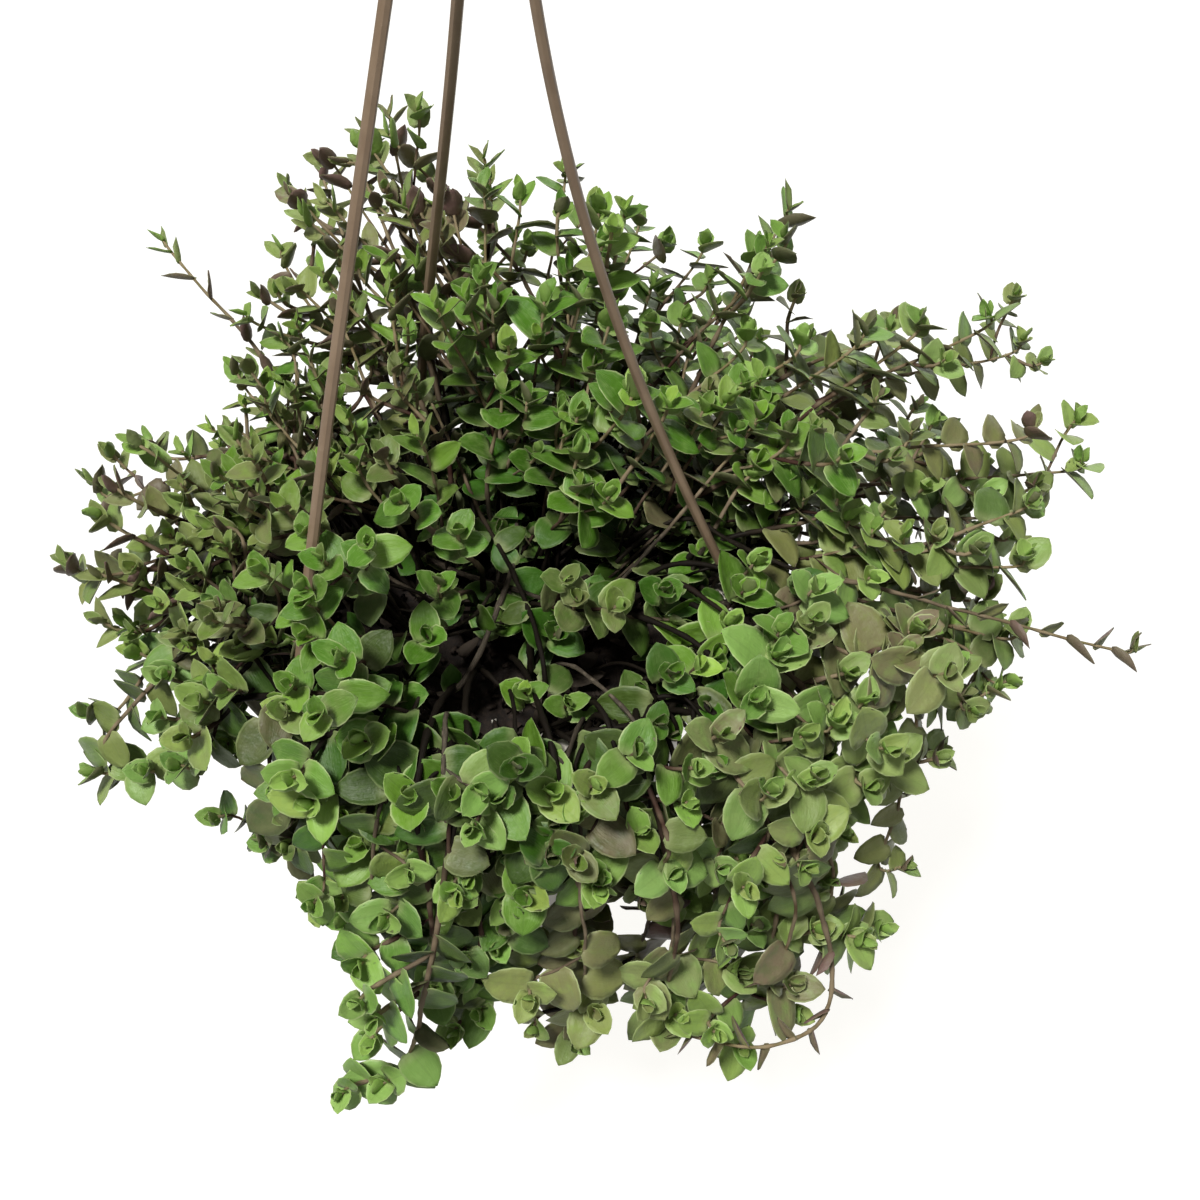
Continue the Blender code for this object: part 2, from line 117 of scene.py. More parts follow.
# Each rooted shoot as part.py has it: azimuth in degrees, the tip's reach from the pot's axis, its
# height over the rim and the height of the arch, in mm, and how steeply the tip faces up, in degrees.
SHOOTS = {
    "left": [
        (142, 128, 70, 34, 40), (180, 125, 4, 22, 15), (171, 119, 22, 30, 35), (165, 104, 32, 28, 45),
        (201, 120, -12, 20, 20), (207, 122, -24, 14, 25), (193, 104, 4, 26, 35), (216, 86, 16, 18, 60),
        (221, 104, -6, 16, 40), (150, 88, 46, 30, 55), (229, 93, -36, 12, 35),
    ],
    "back": [
        (128, 108, 64, 30, 60), (106, 116, 96, 45, 62), (117, 121, 78, 35, 50), (92, 104, 56, 30, 60),
        (78, 110, 80, 40, 65), (68, 126, 58, 30, 50), (60, 140, 48, 26, 45), (45, 132, 74, 36, 55),
        (98, 112, -38, 14, 15), (70, 120, -62, 12, 15), (124, 112, -60, 12, 15),
        (152, 114, -34, 12, 20), (42, 134, -36, 14, 20),
    ],
    "right": [
        (31, 150, 44, 30, 50), (25, 190, 34, 34, 35), (14, 194, 10, 30, 25), (353, 190, -6, 26, 5),
        (12, 130, 36, 30, 55), (2, 134, 14, 24, 50), (347, 140, -42, 16, 30), (334, 119, -38, 14, 40),
        (338, 138, -72, 12, 20), (325, 132, -74, 10, 25), (332, 93, 20, 22, 60),
    ],
    "front": [
        (309, 122, -104, 10, 5), (314, 113, -60, 12, 35), (297, 98, -10, 14, 50), (302, 107, -96, 10, 10),
        (286, 98, -102, 10, 5), (279, 92, -6, 16, 50), (267, 94, -28, 14, 45), (263, 102, -62, 12, 30),
        (256, 116, -92, 10, 15), (248, 97, -46, 12, 35), (252, 63, 12, 14, 65),
    ],
    "middle": [
        (304, 50, 30, 12, 65), (17, 63, 46, 20, 65), (64, 76, 54, 24, 65), (155, 42, 36, 14, 70),
        (237, 64, 54, 24, 60), (209, 68, 56, 26, 55), (122, 54, 70, 30, 65), (84, 50, 66, 30, 70),
    ],
}
# Long, thin shoots with small, narrow leaves
LANKY = ("left_01", "right_04", "back_08")
# Shoots that don't run straight out: how far round the pot they start from where they end, in degrees
SWAY = {"left_11": 22, "front_01": 14, "front_09": 13, "front_10": 9}
# The plant's outline by azimuth in degrees. In mm: the crest's distance from the pot's axis and its
# height over the rim, then how far out the plant reaches and how low it hangs.
OUTLINE = [
    (0, 90, 20, 158, 42), (15, 86, 44, 180, 40), (35, 80, 58, 176, 36), (60, 76, 70, 142, 48),
    (90, 70, 80, 116, 56), (120, 64, 82, 110, 56), (150, 66, 66, 106, 44), (180, 68, 56, 108, 26),
    (205, 66, 58, 100, 24), (232, 64, 58, 92, 26), (246, 72, 40, 88, 36), (260, 88, 18, 96, 86),
    (290, 90, 14, 102, 98), (310, 92, 12, 112, 100), (330, 94, 10, 126, 84), (345, 94, 8, 142, 52),
    (360, 90, 20, 158, 42),
]
# Rows of other shoots whose tips show, not in the CAD. A row runs over the crown from one place to another,
# each as azimuth in degrees, reach and height in mm. Then come its number of shoots, how steeply their tips
# face up in degrees, and the size of their leaves.
ROWS = [
    # the crown's inside, round the open middle
    ((190, 10, 56), (185, 70, 32), 6, 73, 1.1), ((262, 30, 44), (262, 42, 30), 2, 74, 0.9),
    ((125, 22, 80), (35, 55, 68), 7, 72, 1.05), ((75, 20, 58), (-25, 32, 42), 6, 75, 1.05),
    ((280, 61, 12), (298, 68, 13), 2, 60, 0.75),
    # the right shoulder, and the crest and rim to the right front
    ((12, 42, 62), (4, 98, 50), 9, 68, 1.08), ((2, 76, 38), (0, 125, 16), 7, 57, 1.07),
    ((316, 76, 16), (352, 82, 24), 7, 60, 1.03), ((310, 96, 6), (348, 100, 22), 5, 55, 1.1),
    ((312, 112, -4), (350, 126, 8), 6, 50, 1.08),
    # long shoots to the right
    ((30, 82, 58), (18, 168, 56), 5, 58, 1.0), ((12, 165, 40), (-5, 160, -14), 4, 36, 1.03),
    ((0, 150, -6), (-7, 158, -32), 3, 30, 1.0),
    # the left front shoulder
    ((238, 65, 62), (237, 83, 14), 8, 56, 0.95), ((246, 76, 42), (252, 80, 22), 2, 56, 0.95),
    ((230, 86, 16), (196, 105, 2), 4, 40, 1.0),
    # the crest in front and what hangs from it
    ((256, 91, 2), (300, 94, 13), 6, 52, 1.02), ((246, 91, -18), (304, 107, -20), 6, 38, 0.97),
    ((256, 94, -44), (292, 100, -58), 3, 32, 0.95), ((271, 95, -68), (306, 110, -88), 3, 30, 0.92),
    ((262, 92, -70), (272, 92, -90), 2, 25, 1.0), ((328, 121, -30), (315, 128, -84), 4, 38, 1.08),
    # the high back
    ((112, 76, 86), (52, 78, 86), 7, 68, 1.0), ((128, 98, 80), (95, 84, 78), 8, 48, 1.0),
    ((128, 106, 82), (104, 104, 96), 6, 44, 0.95), ((130, 78, 70), (108, 66, 72), 5, 66, 1.15),
    ((132, 84, 68), (150, 94, 46), 4, 42, 1.0), ((40, 98, 76), (34, 108, 84), 2, 68, 0.95),
    # the left
    ((185, 87, 56), (192, 116, 24), 5, 47, 0.96), ((193, 98, 42), (195, 112, 2), 3, 38, 0.98),
]
ROW_SCATTER = 3 * MM
HIGH_LEFT_SWAY = -22                # shoots at the high back lean over to the left
TIP_CLEAR = 7 * MM
# A stem that swings round under the front with purple leaves: azimuth, reach and height of its points
ARC = [(314, 60, 2), (316, 87, 8), (318, 112, -22), (319, 131, -60), (315, 138, -81), (308, 131, -88),
       (301, 110, -96)]
GOLDEN_ANGLE = 137.508
FILL_SHOOTS = 120
FILL_NEAR = 13 * MM
FILL_FAR = 20 * MM
LOW_SHOOTS = 66
LOW_SPACING = 12 * MM
RIM_SPACING = 9 * MM
# Low shoots stand inside the crown, behind its front or at the front rim, in turn. For the last two, the
# least and the most azimuth, reach and height.
LOW_PLACES = ("inside", "behind", "rim")
LOW_ENDS = {"behind": ((250, 348), (80, 90), (-78, -8)), "rim": ((294, 352), (72, 84), (5, 10))}
RUNNERS = 7
# The open, dark place in the crown: its middle from the pot's axis, its size, and the wider spacing there
OPEN_MIDDLE = Vector((16 * MM, -33 * MM, 0))
OPEN_R = 62 * MM
OPEN_HALF = (68 * MM, 42 * MM)
OPEN_TOP = 26 * MM
OPEN_SPACING = 20 * MM
FRONT = 268                         # azimuth of the side where the crown slopes down inward


# ---------------------------------------------------------------- curves and small helpers

def polar(azimuth, radius, height):
    turn = math.radians(azimuth)
    return Vector((radius * math.cos(turn), radius * math.sin(turn), height))


def blend(low, high, share):
    return low + (high - low) * share


def toward(azimuth, side):
    """1 where an azimuth points to the side, down to -1 where it points away from it."""
    return math.cos(math.radians(azimuth) - math.radians(side))


def smooth_step(low, high, value):
    share = min(1, max(0, (value - low) / (high - low)))
    return share * share * (3 - 2 * share)


def flat_from_axis(point):
    return Vector((point.x - RIM.x, point.y - RIM.y, 0))


def off_axis(point):
    """How far the point is from the pot's axis."""
    return math.hypot(point.x - RIM.x, point.y - RIM.y)


def stray(chance, size):
    return Vector([chance.gauss(0, size) for _ in range(3)])


def smooth_line(points, steps):
    """Points along a Catmull-Rom curve through the given ones."""
    ends = [points[0] * 2 - points[1], *points, points[-1] * 2 - points[-2]]
    line = []
    for before, start, end, after in zip(ends, ends[1:], ends[2:], ends[3:]):
        for step in range(steps):
            t = step / steps
            line.append(0.5 * (start * 2 + (end - before) * t
                               + (before * 2 - start * 5 + end * 4 - after) * t ** 2
                               + (start * 3 - before - end * 3 + after) * t ** 3))
    line.append(points[-1].copy())
    return line


def resample(line, step):
    """The line again, at an even spacing from its first point to its last."""
    lengths = [0.0]
    for start, end in zip(line, line[1:]):
        lengths.append(lengths[-1] + (end - start).length)
    count = max(4, round(lengths[-1] / step))
    places = np.linspace(0, lengths[-1], count + 1)
    array = np.array(line)
    return [Vector(row) for row in zip(*(np.interp(places, lengths, array[:, i]) for i in range(3)))]


def kinked(line, size):
    """The line with small sideways wanders that die out at both ends."""
    out = []
    for i, point in enumerate(line):
        share = math.sin(math.pi * i / (len(line) - 1))
        slow = noise.noise_vector(point * 38)
        quick = noise.noise_vector(point * 130)
        out.append(point + (slow * 1.6 + quick * 0.4) * size * share)
    return out


def frames_along(line, side):
    """The direction ahead, a sideways and an upward unit vector at each point."""
    out = []
    for i in range(len(line)):
        ahead = (line[min(i + 1, len(line) - 1)] - line[max(i - 1, 0)]).normalized()
        side = (side - ahead * side.dot(ahead)).normalized()
        out.append((ahead, side, ahead.cross(side)))
    return out


def add_object(name, data):
    made = bpy.data.objects.new(name, data)
    bpy.context.scene.collection.objects.link(made)
    return made


def link(name, mesh, finishes):
    """A visible piece that rides on the part's one body."""
    for finish in finishes:
        mesh.materials.append(finish)
    made = add_object(name, mesh)
    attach(made, "root")
    return made


def soften(mesh, sharp):
    """Smooth shading, but for edges sharper than the angle in degrees."""
    mesh.shade_smooth()
    mesh.set_sharp_from_angle(angle=math.radians(sharp))


def mesh_of(form, name):
    """The bmesh as a mesh."""
    mesh = bpy.data.meshes.new(name)
    form.to_mesh(mesh)
    form.free()
    return mesh


class Form:
    """A growing mesh of quads, with a material slot for each face and named marks for each point."""

    MARKS = ("along", "across", "age", "tint", "bronze", "pale", "under", "sheath")

    def __init__(self):
        self.points = []
        self.faces = []
        self.slots = []
        self.marks = {name: [] for name in self.MARKS}
        self.count = 0

    def add(self, points, faces, slot, **marks):
        self.points.append(points)
        self.faces.append(faces + self.count)
        self.slots.append(np.full(len(faces), slot, np.int32))
        for name in self.MARKS:
            value = marks.get(name, 0.0)
            self.marks[name].append(np.broadcast_to(np.asarray(value, np.float32), len(points)))
        self.count += len(points)

    def make(self, name, finishes):
        points = np.concatenate(self.points)
        faces = np.concatenate(self.faces).astype(np.int32)
        mesh = bpy.data.meshes.new(name)
        mesh.vertices.add(len(points))
        mesh.vertices.foreach_set("co", points.astype(np.float32).ravel())
        mesh.loops.add(faces.size)
        mesh.loops.foreach_set("vertex_index", faces.ravel())
        mesh.polygons.add(len(faces))
        mesh.polygons.foreach_set("loop_start", np.arange(0, faces.size, 4, dtype=np.int32))
        mesh.polygons.foreach_set("material_index", np.concatenate(self.slots))
        mesh.update(calc_edges=True)
        mesh.validate()
        mesh.shade_smooth()
        for mark, values in self.marks.items():
            mesh.attributes.new(mark, "FLOAT", "POINT").data.foreach_set("value", np.concatenate(values))
        return link(name, mesh, finishes)


def grid_faces(rows, columns, wrap=False, flip=False):
    """Quads over a grid of points that is stored row by row."""
    width = columns if wrap else columns - 1
    r, c = np.meshgrid(np.arange(rows - 1), np.arange(width), indexing="ij")
    a = (r * columns + c).ravel()
    b = (r * columns + (c + 1) % columns).ravel()
    quads = np.stack([a, b, b + columns, a + columns], axis=1)
    return quads[:, ::-1] if flip else quads


# ---------------------------------------------------------------- materials

class Nodes:
    """Short words for building the node tree of a material or of the world."""

    def __init__(self, owner, shader="Principled BSDF"):
        owner.use_nodes = True
        self.owner = owner
        self.tree = owner.node_tree
        self.shader = self.tree.nodes[shader]

    def put(self, socket, value):
        """Links an output to the socket, or sets the socket to a number or a colour."""
        if isinstance(value, bpy.types.NodeSocket):
            self.tree.links.new(value, socket)
        else:
            socket.default_value = (*value, 1) if isinstance(value, tuple) else value

    def node(self, kind, inputs=None, out=0, **settings):
        """One of a new node's outputs. The inputs go by their names or numbers."""
        made = self.tree.nodes.new("ShaderNode" + kind)
        for setting, value in settings.items():
            setattr(made, setting, value)
        for socket, value in (inputs or {}).items():
            self.put(made.inputs[socket], value)
        return made.outputs[out]

    def mark(self, name):
        return self.node("Attribute", out="Fac", attribute_name=name)

    def place(self):
        return self.node("TexCoord", out="Object")

    def ray(self, kind):
        return self.node("LightPath", out=kind)

    def math(self, operation, first, second=0.0, clamp=False):
        return self.node("Math", {0: first, 1: second}, operation=operation, use_clamp=clamp)

    def times(self, first, second):
        return self.math("MULTIPLY", first, second)

    def vector(self, x, y, z):
        return self.node("CombineXYZ", {0: x, 1: y, 2: z})

    def noise(self, scale, detail=3.0, at=None, roughness=0.55):
        inputs = {"Vector": at or self.place(), "Scale": scale, "Detail": detail, "Roughness": roughness}
        return self.node("TexNoise", inputs, "Fac")

    def cells(self, scale):
        return self.node("TexVoronoi", {"Vector": self.place(), "Scale": scale}, "Distance")

    def ramp(self, value, low, high, start=0.0, end=1.0):
        """Runs from start to end while the value runs from low to high."""
        inputs = dict(enumerate((value, low, high, start, end)))
        return self.node("MapRange", inputs, interpolation_type="SMOOTHSTEP")

    def mix(self, share, first, second):
        return self.node("Mix", {0: share, 6: first, 7: second}, 2, data_type="RGBA")

    def bump(self, height, distance, strength=1.0):
        inputs = {"Strength": strength, "Distance": distance, "Height": height}
        self.put(self.shader.inputs["Normal"], self.node("Bump", inputs))

    def finish(self, colour, roughness):
        self.put(self.shader.inputs["Base Color"], colour)
        self.put(self.shader.inputs["Roughness"], roughness)
        return self.owner


# Leaf colours by age, and those that the pale and tint marks blend in. OLD and GROWN also serve as painted
# shade, for leaves whose age mark is raised deep in the crown.
YOUNG = (0.320, 0.500, 0.080)
FRESH = (0.165, 0.335, 0.026)
GROWN = (0.092, 0.195, 0.012)
OLD = (0.028, 0.062, 0.004)
PALE = (0.270, 0.440, 0.145)
DULL = (0.265, 0.290, 0.078)
DEEP = (0.036, 0.130, 0.008)


def leaf_material():
    """Waxy leaves: yellow-green when young, deep green later, bronze where the sun is strong."""
    n = Nodes(bpy.data.materials.new("turtle_vine_leaf"))
    along, across = n.mark("along"), n.mark("across")
    age, tint, bronze, under, pale = (n.mark(name) for name in ("age", "tint", "bronze", "under", "pale"))
    patches = n.noise(260, 4.0)
    lively = n.ramp(age, 0.6, 1.0, 1.0, 0.25)
    veins = n.noise(2.2, 2.0, n.vector(n.times(across, 9.0), n.times(along, 1.3), tint))
    from_midrib = n.math("ABSOLUTE", across)
    edge = n.times(n.ramp(age, 0.5, 1.0, 1.0, 0.4), n.ramp(patches, 0.3, 0.7, 0.4, 0.8))
    layers = [
        # by age; the age mark also carries painted shade for leaves deep in the crown and on the low shoots
        (n.ramp(age, 0.0, 0.3), FRESH),
        (n.ramp(age, 0.25, 0.7), GROWN),
        (n.ramp(age, 0.7, 1.0), OLD),
        # by the pale and tint marks
        (n.times(pale, n.ramp(age, 0.5, 1.0, 0.68, 0.20)), PALE),
        (n.ramp(tint, 0.0, 1.0, 0.0, 0.55), DULL),
        (n.ramp(tint, 0.0, -1.0, 0.0, 0.70), DEEP),
        # patches, veins, midrib, leaf base, bronze, light edge and small spots
        (n.times(lively, n.ramp(patches, 0.45, 0.8, 0, 0.5)), (0.235, 0.375, 0.095)),
        (n.times(lively, n.ramp(veins, 0.50, 0.68, 0, 0.32)), (0.240, 0.390, 0.105)),
        (n.ramp(from_midrib, 0.09, 0.0, 0, 0.16), (0.070, 0.120, 0.030)),
        (n.ramp(along, 0.30, 0.0, 0, 0.45), (0.330, 0.370, 0.170)),
        (n.times(bronze, n.ramp(patches, 0.25, 0.6, 0.5, 1.0)),
         n.mix(n.noise(420, 3.0), (0.150, 0.090, 0.066), (0.185, 0.165, 0.090))),
        (n.times(n.ramp(from_midrib, 0.87, 0.98), edge), (0.430, 0.520, 0.240)),
        (n.times(n.ramp(n.cells(900), 0.10, 0.05, 0, 1), n.ramp(n.noise(120, 2.0), 0.62, 0.72, 0, 0.8)),
         (0.260, 0.220, 0.150)),
    ]
    colour = YOUNG
    for share, layer in layers:
        colour = n.mix(share, colour, layer)
    below = n.mix(n.noise(300, 2.0), (0.165, 0.075, 0.090), (0.150, 0.125, 0.075))
    below = n.mix(n.ramp(bronze, 0.0, 0.6, 0.6, 0.0), below, (0.090, 0.140, 0.045))
    below = n.mix(n.ramp(age, 0.08, 0.4, 0.85, 0.0), below, (0.210, 0.360, 0.070))
    colour = n.mix(under, colour, below)
    swell = n.times(n.noise(380, 2.0), 3.0)
    n.bump(n.math("ADD", n.math("ADD", veins, swell), n.times(n.noise(1500, 2.0), 0.5)),
           0.14 * MM, 0.8)
    n.shader.inputs["Specular IOR Level"].default_value = 0.36
    return n.finish(colour, n.ramp(patches, 0.2, 0.8, 0.40, 0.56))


def stem_material():
    """Jointed stems: green-pink and smooth at the tip, straw to dark red-brown and lined further down, and
    near black where painted shade darkens them deep in the crown.
    """
    n = Nodes(bpy.data.materials.new("turtle_vine_stem"))
    age, tint, sheath = n.mark("age"), n.mark("tint"), n.mark("sheath")
    streaks = n.noise(1.0, 3.0, n.vector(n.times(n.mark("across"), 14.0),
                                         n.times(n.mark("along"), 320.0), tint))
    tip = n.mix(n.noise(300), (0.170, 0.190, 0.070), (0.240, 0.140, 0.085))
    middle = n.mix(n.ramp(tint, -0.4, 1.0), (0.045, 0.020, 0.015), (0.150, 0.115, 0.075))
    # The near-black old colour also serves as painted shade for stems deep in the crown.
    base = n.mix(n.ramp(tint, 0.8, 1.2), (0.008, 0.006, 0.004), (0.060, 0.050, 0.038))
    colour = n.mix(n.ramp(age, 0.05, 0.35), tip, middle)
    colour = n.mix(n.ramp(age, 0.5, 0.95), colour, base)
    colour = n.mix(n.times(n.ramp(streaks, 0.45, 0.75, 0, 0.6), n.ramp(tint, 0.5, 1.2, 0.03, 1.0)),
                   colour, (0.260, 0.215, 0.155))
    paper = n.mix(streaks, (0.240, 0.180, 0.110), (0.420, 0.350, 0.240))
    colour = n.mix(n.times(sheath, n.ramp(age, 0.0, 0.8, 0.6, 0.0)), colour, paper)
    n.bump(streaks, 0.15 * MM, 0.8)
    n.shader.inputs["Specular IOR Level"].default_value = 0.1
    return n.finish(colour, n.ramp(streaks, 0.2, 0.8, 0.5, 0.75))


def hanger_material():
    """Taupe moulded plastic, slightly chalky, with fine rubs and a few nicks."""
    n = Nodes(bpy.data.materials.new("hanger_plastic"))
    cloud = n.noise(90, 4.0)
    colour = n.mix(n.ramp(cloud, 0.3, 0.75), (0.180, 0.122, 0.076), (0.245, 0.175, 0.115))
    rubs = n.noise(700, 4.0, roughness=0.7)
    colour = n.mix(n.ramp(rubs, 0.6, 0.8, 0, 0.5), colour, (0.310, 0.250, 0.185))
    nicks = n.times(n.ramp(n.cells(260), 0.12, 0.05), n.ramp(n.noise(35), 0.6, 0.68))
    colour = n.mix(nicks, colour, (0.060, 0.040, 0.028))
    n.bump(n.math("SUBTRACT", rubs, nicks), 0.12 * MM, 0.7)
    return n.finish(colour, n.ramp(cloud, 0.2, 0.8, 0.42, 0.62))


def pot_material():
    """Off-white moulded plastic with a fine grain, dust and specks of splashed soil."""
    n = Nodes(bpy.data.materials.new("pot_plastic"))
    dust = n.noise(38, 5.0)
    colour = n.mix(n.ramp(dust, 0.35, 0.75), (0.860, 0.820, 0.720), (0.780, 0.730, 0.620))
    splash = n.times(n.ramp(n.noise(420, 3.0), 0.62, 0.75), n.ramp(n.noise(25), 0.5, 0.7))
    colour = n.mix(n.times(splash, 0.6), colour, (0.300, 0.240, 0.170))
    grain = n.noise(2600, 2.0)
    n.bump(grain, 0.05 * MM, 0.5)
    return n.finish(colour, n.ramp(dust, 0.2, 0.8, 0.34, 0.5))


def soil_material():
    """Dark, damp peat with paler fibres."""
    n = Nodes(bpy.data.materials.new("potting_soil"))
    clods = n.noise(330, 6.0, roughness=0.7)
    colour = n.mix(n.ramp(clods, 0.3, 0.7), (0.006, 0.004, 0.003), (0.026, 0.016, 0.010))
    fibre = n.ramp(n.noise(1300, 4.0), 0.62, 0.72, 0, 0.7)
    colour = n.mix(fibre, colour, (0.060, 0.040, 0.024))
    n.bump(clods, 1.2 * MM, 1.0)
    return n.finish(colour, 0.93)


def litter_material():
    """Bark crumbs, dead leaves and a few pale grains, told apart by the age and sheath marks."""
    n = Nodes(bpy.data.materials.new("soil_litter"))
    streak = n.noise(900, 4.0)
    bark = n.mix(streak, (0.012, 0.007, 0.004), (0.034, 0.020, 0.012))
    dead = n.mix(streak, (0.022, 0.015, 0.009), (0.046, 0.032, 0.020))
    colour = n.mix(n.mark("age"), bark, dead)
    colour = n.mix(n.mark("sheath"), colour, (0.560, 0.540, 0.480))
    n.bump(streak, 0.2 * MM, 0.8)
    return n.finish(colour, 0.82)


# ---------------------------------------------------------------- leaves and stems

# How wide a leaf is at each share of its length: a heart-shaped base and a short sharp tip.
BROAD_OUTLINE = [(0, 0.42), (0.08, 0.82), (0.25, 1), (0.48, 0.98), (0.7, 0.78), (0.88, 0.4), (1, 0.015)]
# A leaf that is shorter than SMALL_LEAF has an outline with fewer points.
SMALL_OUTLINE = [(0, 0.42), (0.09, 0.84), (0.3, 1), (0.6, 0.9), (0.85, 0.48), (1, 0.015)]
SMALL_LEAF = 9.5 * MM
LEAF_ACROSS = np.array([-1, -0.55, 0, 0.55, 1])


def leaf_shell_faces(rows):
    """Faces of a leaf's top, its underside and the thin edge between them."""
    columns = len(LEAF_ACROSS)
    top = grid_faces(rows, columns)
    under = grid_faces(rows, columns, flip=True) + rows * columns
    index = np.arange(rows * columns).reshape(rows, columns)
    ring = np.concatenate([index[0, :-1], index[:-1, -1], index[-1, :0:-1], index[:0:-1, 0]])
    after = np.roll(ring, -1)
    edge = np.stack([ring + rows * columns, after + rows * columns, after, ring], axis=1)
    return np.concatenate([top, under, edge])


def leaf_plan(outline):
    rows = np.array(outline)
    return rows[:, :1], rows[:, 1:] / 2, leaf_shell_faces(len(rows))


BROAD_PLAN = leaf_plan(BROAD_OUTLINE)
SMALL_PLAN = leaf_plan(SMALL_OUTLINE)


def add_leaf(form, base, midrib, normal, long, wide, bend, cup, fold, marks, chance):
    """One leaf. It starts at base and runs along midrib; its upper side faces normal.

    bend is how far the tip turns away from the upper side, in radians. cup is the curvature across
    the leaf at its base, which rolls a young leaf into a funnel. fold lifts both halves.
    """
    midrib = np.array(midrib)
    normal = np.array(normal)
    normal = normal - midrib * normal.dot(midrib)
    normal /= np.linalg.norm(normal)
    side = np.cross(midrib, normal)
    rows, half, faces = SMALL_PLAN if long < SMALL_LEAF else BROAD_PLAN
    across = LEAF_ACROSS[None, :]
    arc = half * wide * across
    # Both lobes of the heart-shaped base reach back past the stem.
    heart = 0.10 * across ** 2 * np.exp(-9 * rows) * (1 - np.exp(-40 * rows) * 0.5)
    place = (rows - heart) * long
    # The midrib is an arc, so it needs some bend.
    bend = bend if abs(bend) > 1e-3 else 1e-3
    turn = bend * place / long
    forward = long * np.sin(turn) / bend
    drop = -long * (1 - np.cos(turn)) / bend
    # Each row across is an arc too, tighter at the base, with the fold and a slight wave added.
    curve = cup * (1 - 0.55 * rows)
    curve = np.where(np.abs(curve) < 1.0, 1.0, curve)
    lateral = np.sin(curve * arc) / curve
    lift = (1 - np.cos(curve * arc)) / curve + np.abs(arc) * fold
    wave = 0.25 * MM * np.sin(rows * chance.uniform(5, 9) + chance.uniform(0, 6) + across) * across ** 2
    lift = lift + wave
    local_n = np.cos(turn)[..., None] * normal + np.sin(turn)[..., None] * midrib
    top = (np.array(base) + forward[..., None] * midrib + drop[..., None] * normal
           + lateral[..., None] * side + lift[..., None] * local_n)
    # The underside lies one thickness below, and that thins out to the edge and the tip.
    thick = LEAF_THICK * (1 - 0.75 * across ** 4) * np.ones_like(rows) * (1 - 0.6 * rows ** 3)
    roll = curve * arc
    out = local_n * np.cos(roll)[..., None] - side * np.sin(roll)[..., None]
    under = top - out * thick[..., None]
    points = np.concatenate([top.reshape(-1, 3), under.reshape(-1, 3)])
    along, across = (np.tile(np.broadcast_to(share, arc.shape).ravel(), 2) for share in (rows, across))
    form.add(points, faces, 0, along=along, across=across, under=np.repeat([0.0, 1.0], arc.size), **marks)


def add_stem(form, line, radii, sheath, age, tint):
    """A closed round stem through the line, with a radius at each point."""
    frames = frames_along(line, Vector((0.31, 0.17, 0.93)))
    turns = np.arange(STEM_SIDES) * 2 * math.pi / STEM_SIDES
    ring = np.stack([np.cos(turns), np.sin(turns)], axis=1)
    centre = np.array(line)
    side = np.array([f[1] for f in frames])
    up = np.array([f[2] for f in frames])
    radii = np.array(radii)
    radii[0] *= 0.05
    radii[-1] *= 0.05
    points = (centre[:, None, :] + radii[:, None, None]
              * (ring[None, :, 0:1] * side[:, None, :] + ring[None, :, 1:2] * up[:, None, :]))
    lengths = np.concatenate([[0], np.cumsum(np.linalg.norm(np.diff(centre, axis=0), axis=1))])
    each = np.repeat(np.arange(len(line)), STEM_SIDES)
    faces = grid_faces(len(line), STEM_SIDES, wrap=True)
    form.add(points.reshape(-1, 3), faces, 1, along=lengths[each],
             across=np.tile(np.sin(turns), len(line)), age=np.array(age)[each], tint=tint,
             sheath=np.array(sheath)[each])


class Canopy:
    """Where leaves already are.

    A new leaf keeps its middle off theirs, and its middle and tip off the strands, the pot and the soil.
    Its edges can still cut another leaf, and the youngest leaves of a shoot aren't tested.
    """

    CELL = 5 * MM
    STRAND_CLEAR = 3.4 * MM

    def __init__(self, lines):
        self.cells = {}
        self.lines = np.array([tuple(point) for line in lines for point in line])

    def cell(self, point):
        return tuple(math.floor(v / self.CELL) for v in point)

    @staticmethod
    def clear_of_pot(point):
        out = off_axis(point)
        over = point.z - RIM.z
        if over > LIP_CLEAR or over < -POT_TALL:
            return True
        if over > -2 * LIP_CLEAR and INSIDE_R < out < LIP_R + 2 * MM:
            return False
        if out <= INSIDE_R:
            return point.z > SOIL_HIGH.z + 1 * MM
        return out > WALL_R + over * WALL_FLARE

    @staticmethod
    def in_box(tip):
        return all(low - margin < value < high + margin
                   for low, value, high, margin in zip(BOX_LOW, tip, BOX_HIGH, BOX_MARGIN))

    def free(self, base, tip, near, own):
        middle = (base + tip) / 2
        for point in (middle, tip):
            if np.min(np.linalg.norm(self.lines - np.array(point), axis=1)) < self.STRAND_CLEAR:
                return False
            if not self.clear_of_pot(point):
                return False
        cell = self.cell(middle)
        for step in itertools.product((-1, 0, 1), repeat=3):
            for other, tag in self.cells.get(tuple(a + b for a, b in zip(cell, step)), ()):
                if tag != own and (other - middle).length < near:
                    return False
        return True

    def take(self, base, tip, own):
        middle = (base + tip) / 2
        self.cells.setdefault(self.cell(middle), []).append((middle, own))


def to_light(point):
    """The way that leaves at a place turn: up over the pot, outward where they hang."""
    flat = flat_from_axis(point)
    away = flat.normalized() if flat.length > 1 * MM else Vector()
    hang = smooth_step(14 * MM, -46 * MM, point.z - RIM.z)
    return (away * blend(0.22, 1.05, hang) + Vector((0, -0.42, 1))).normalized()


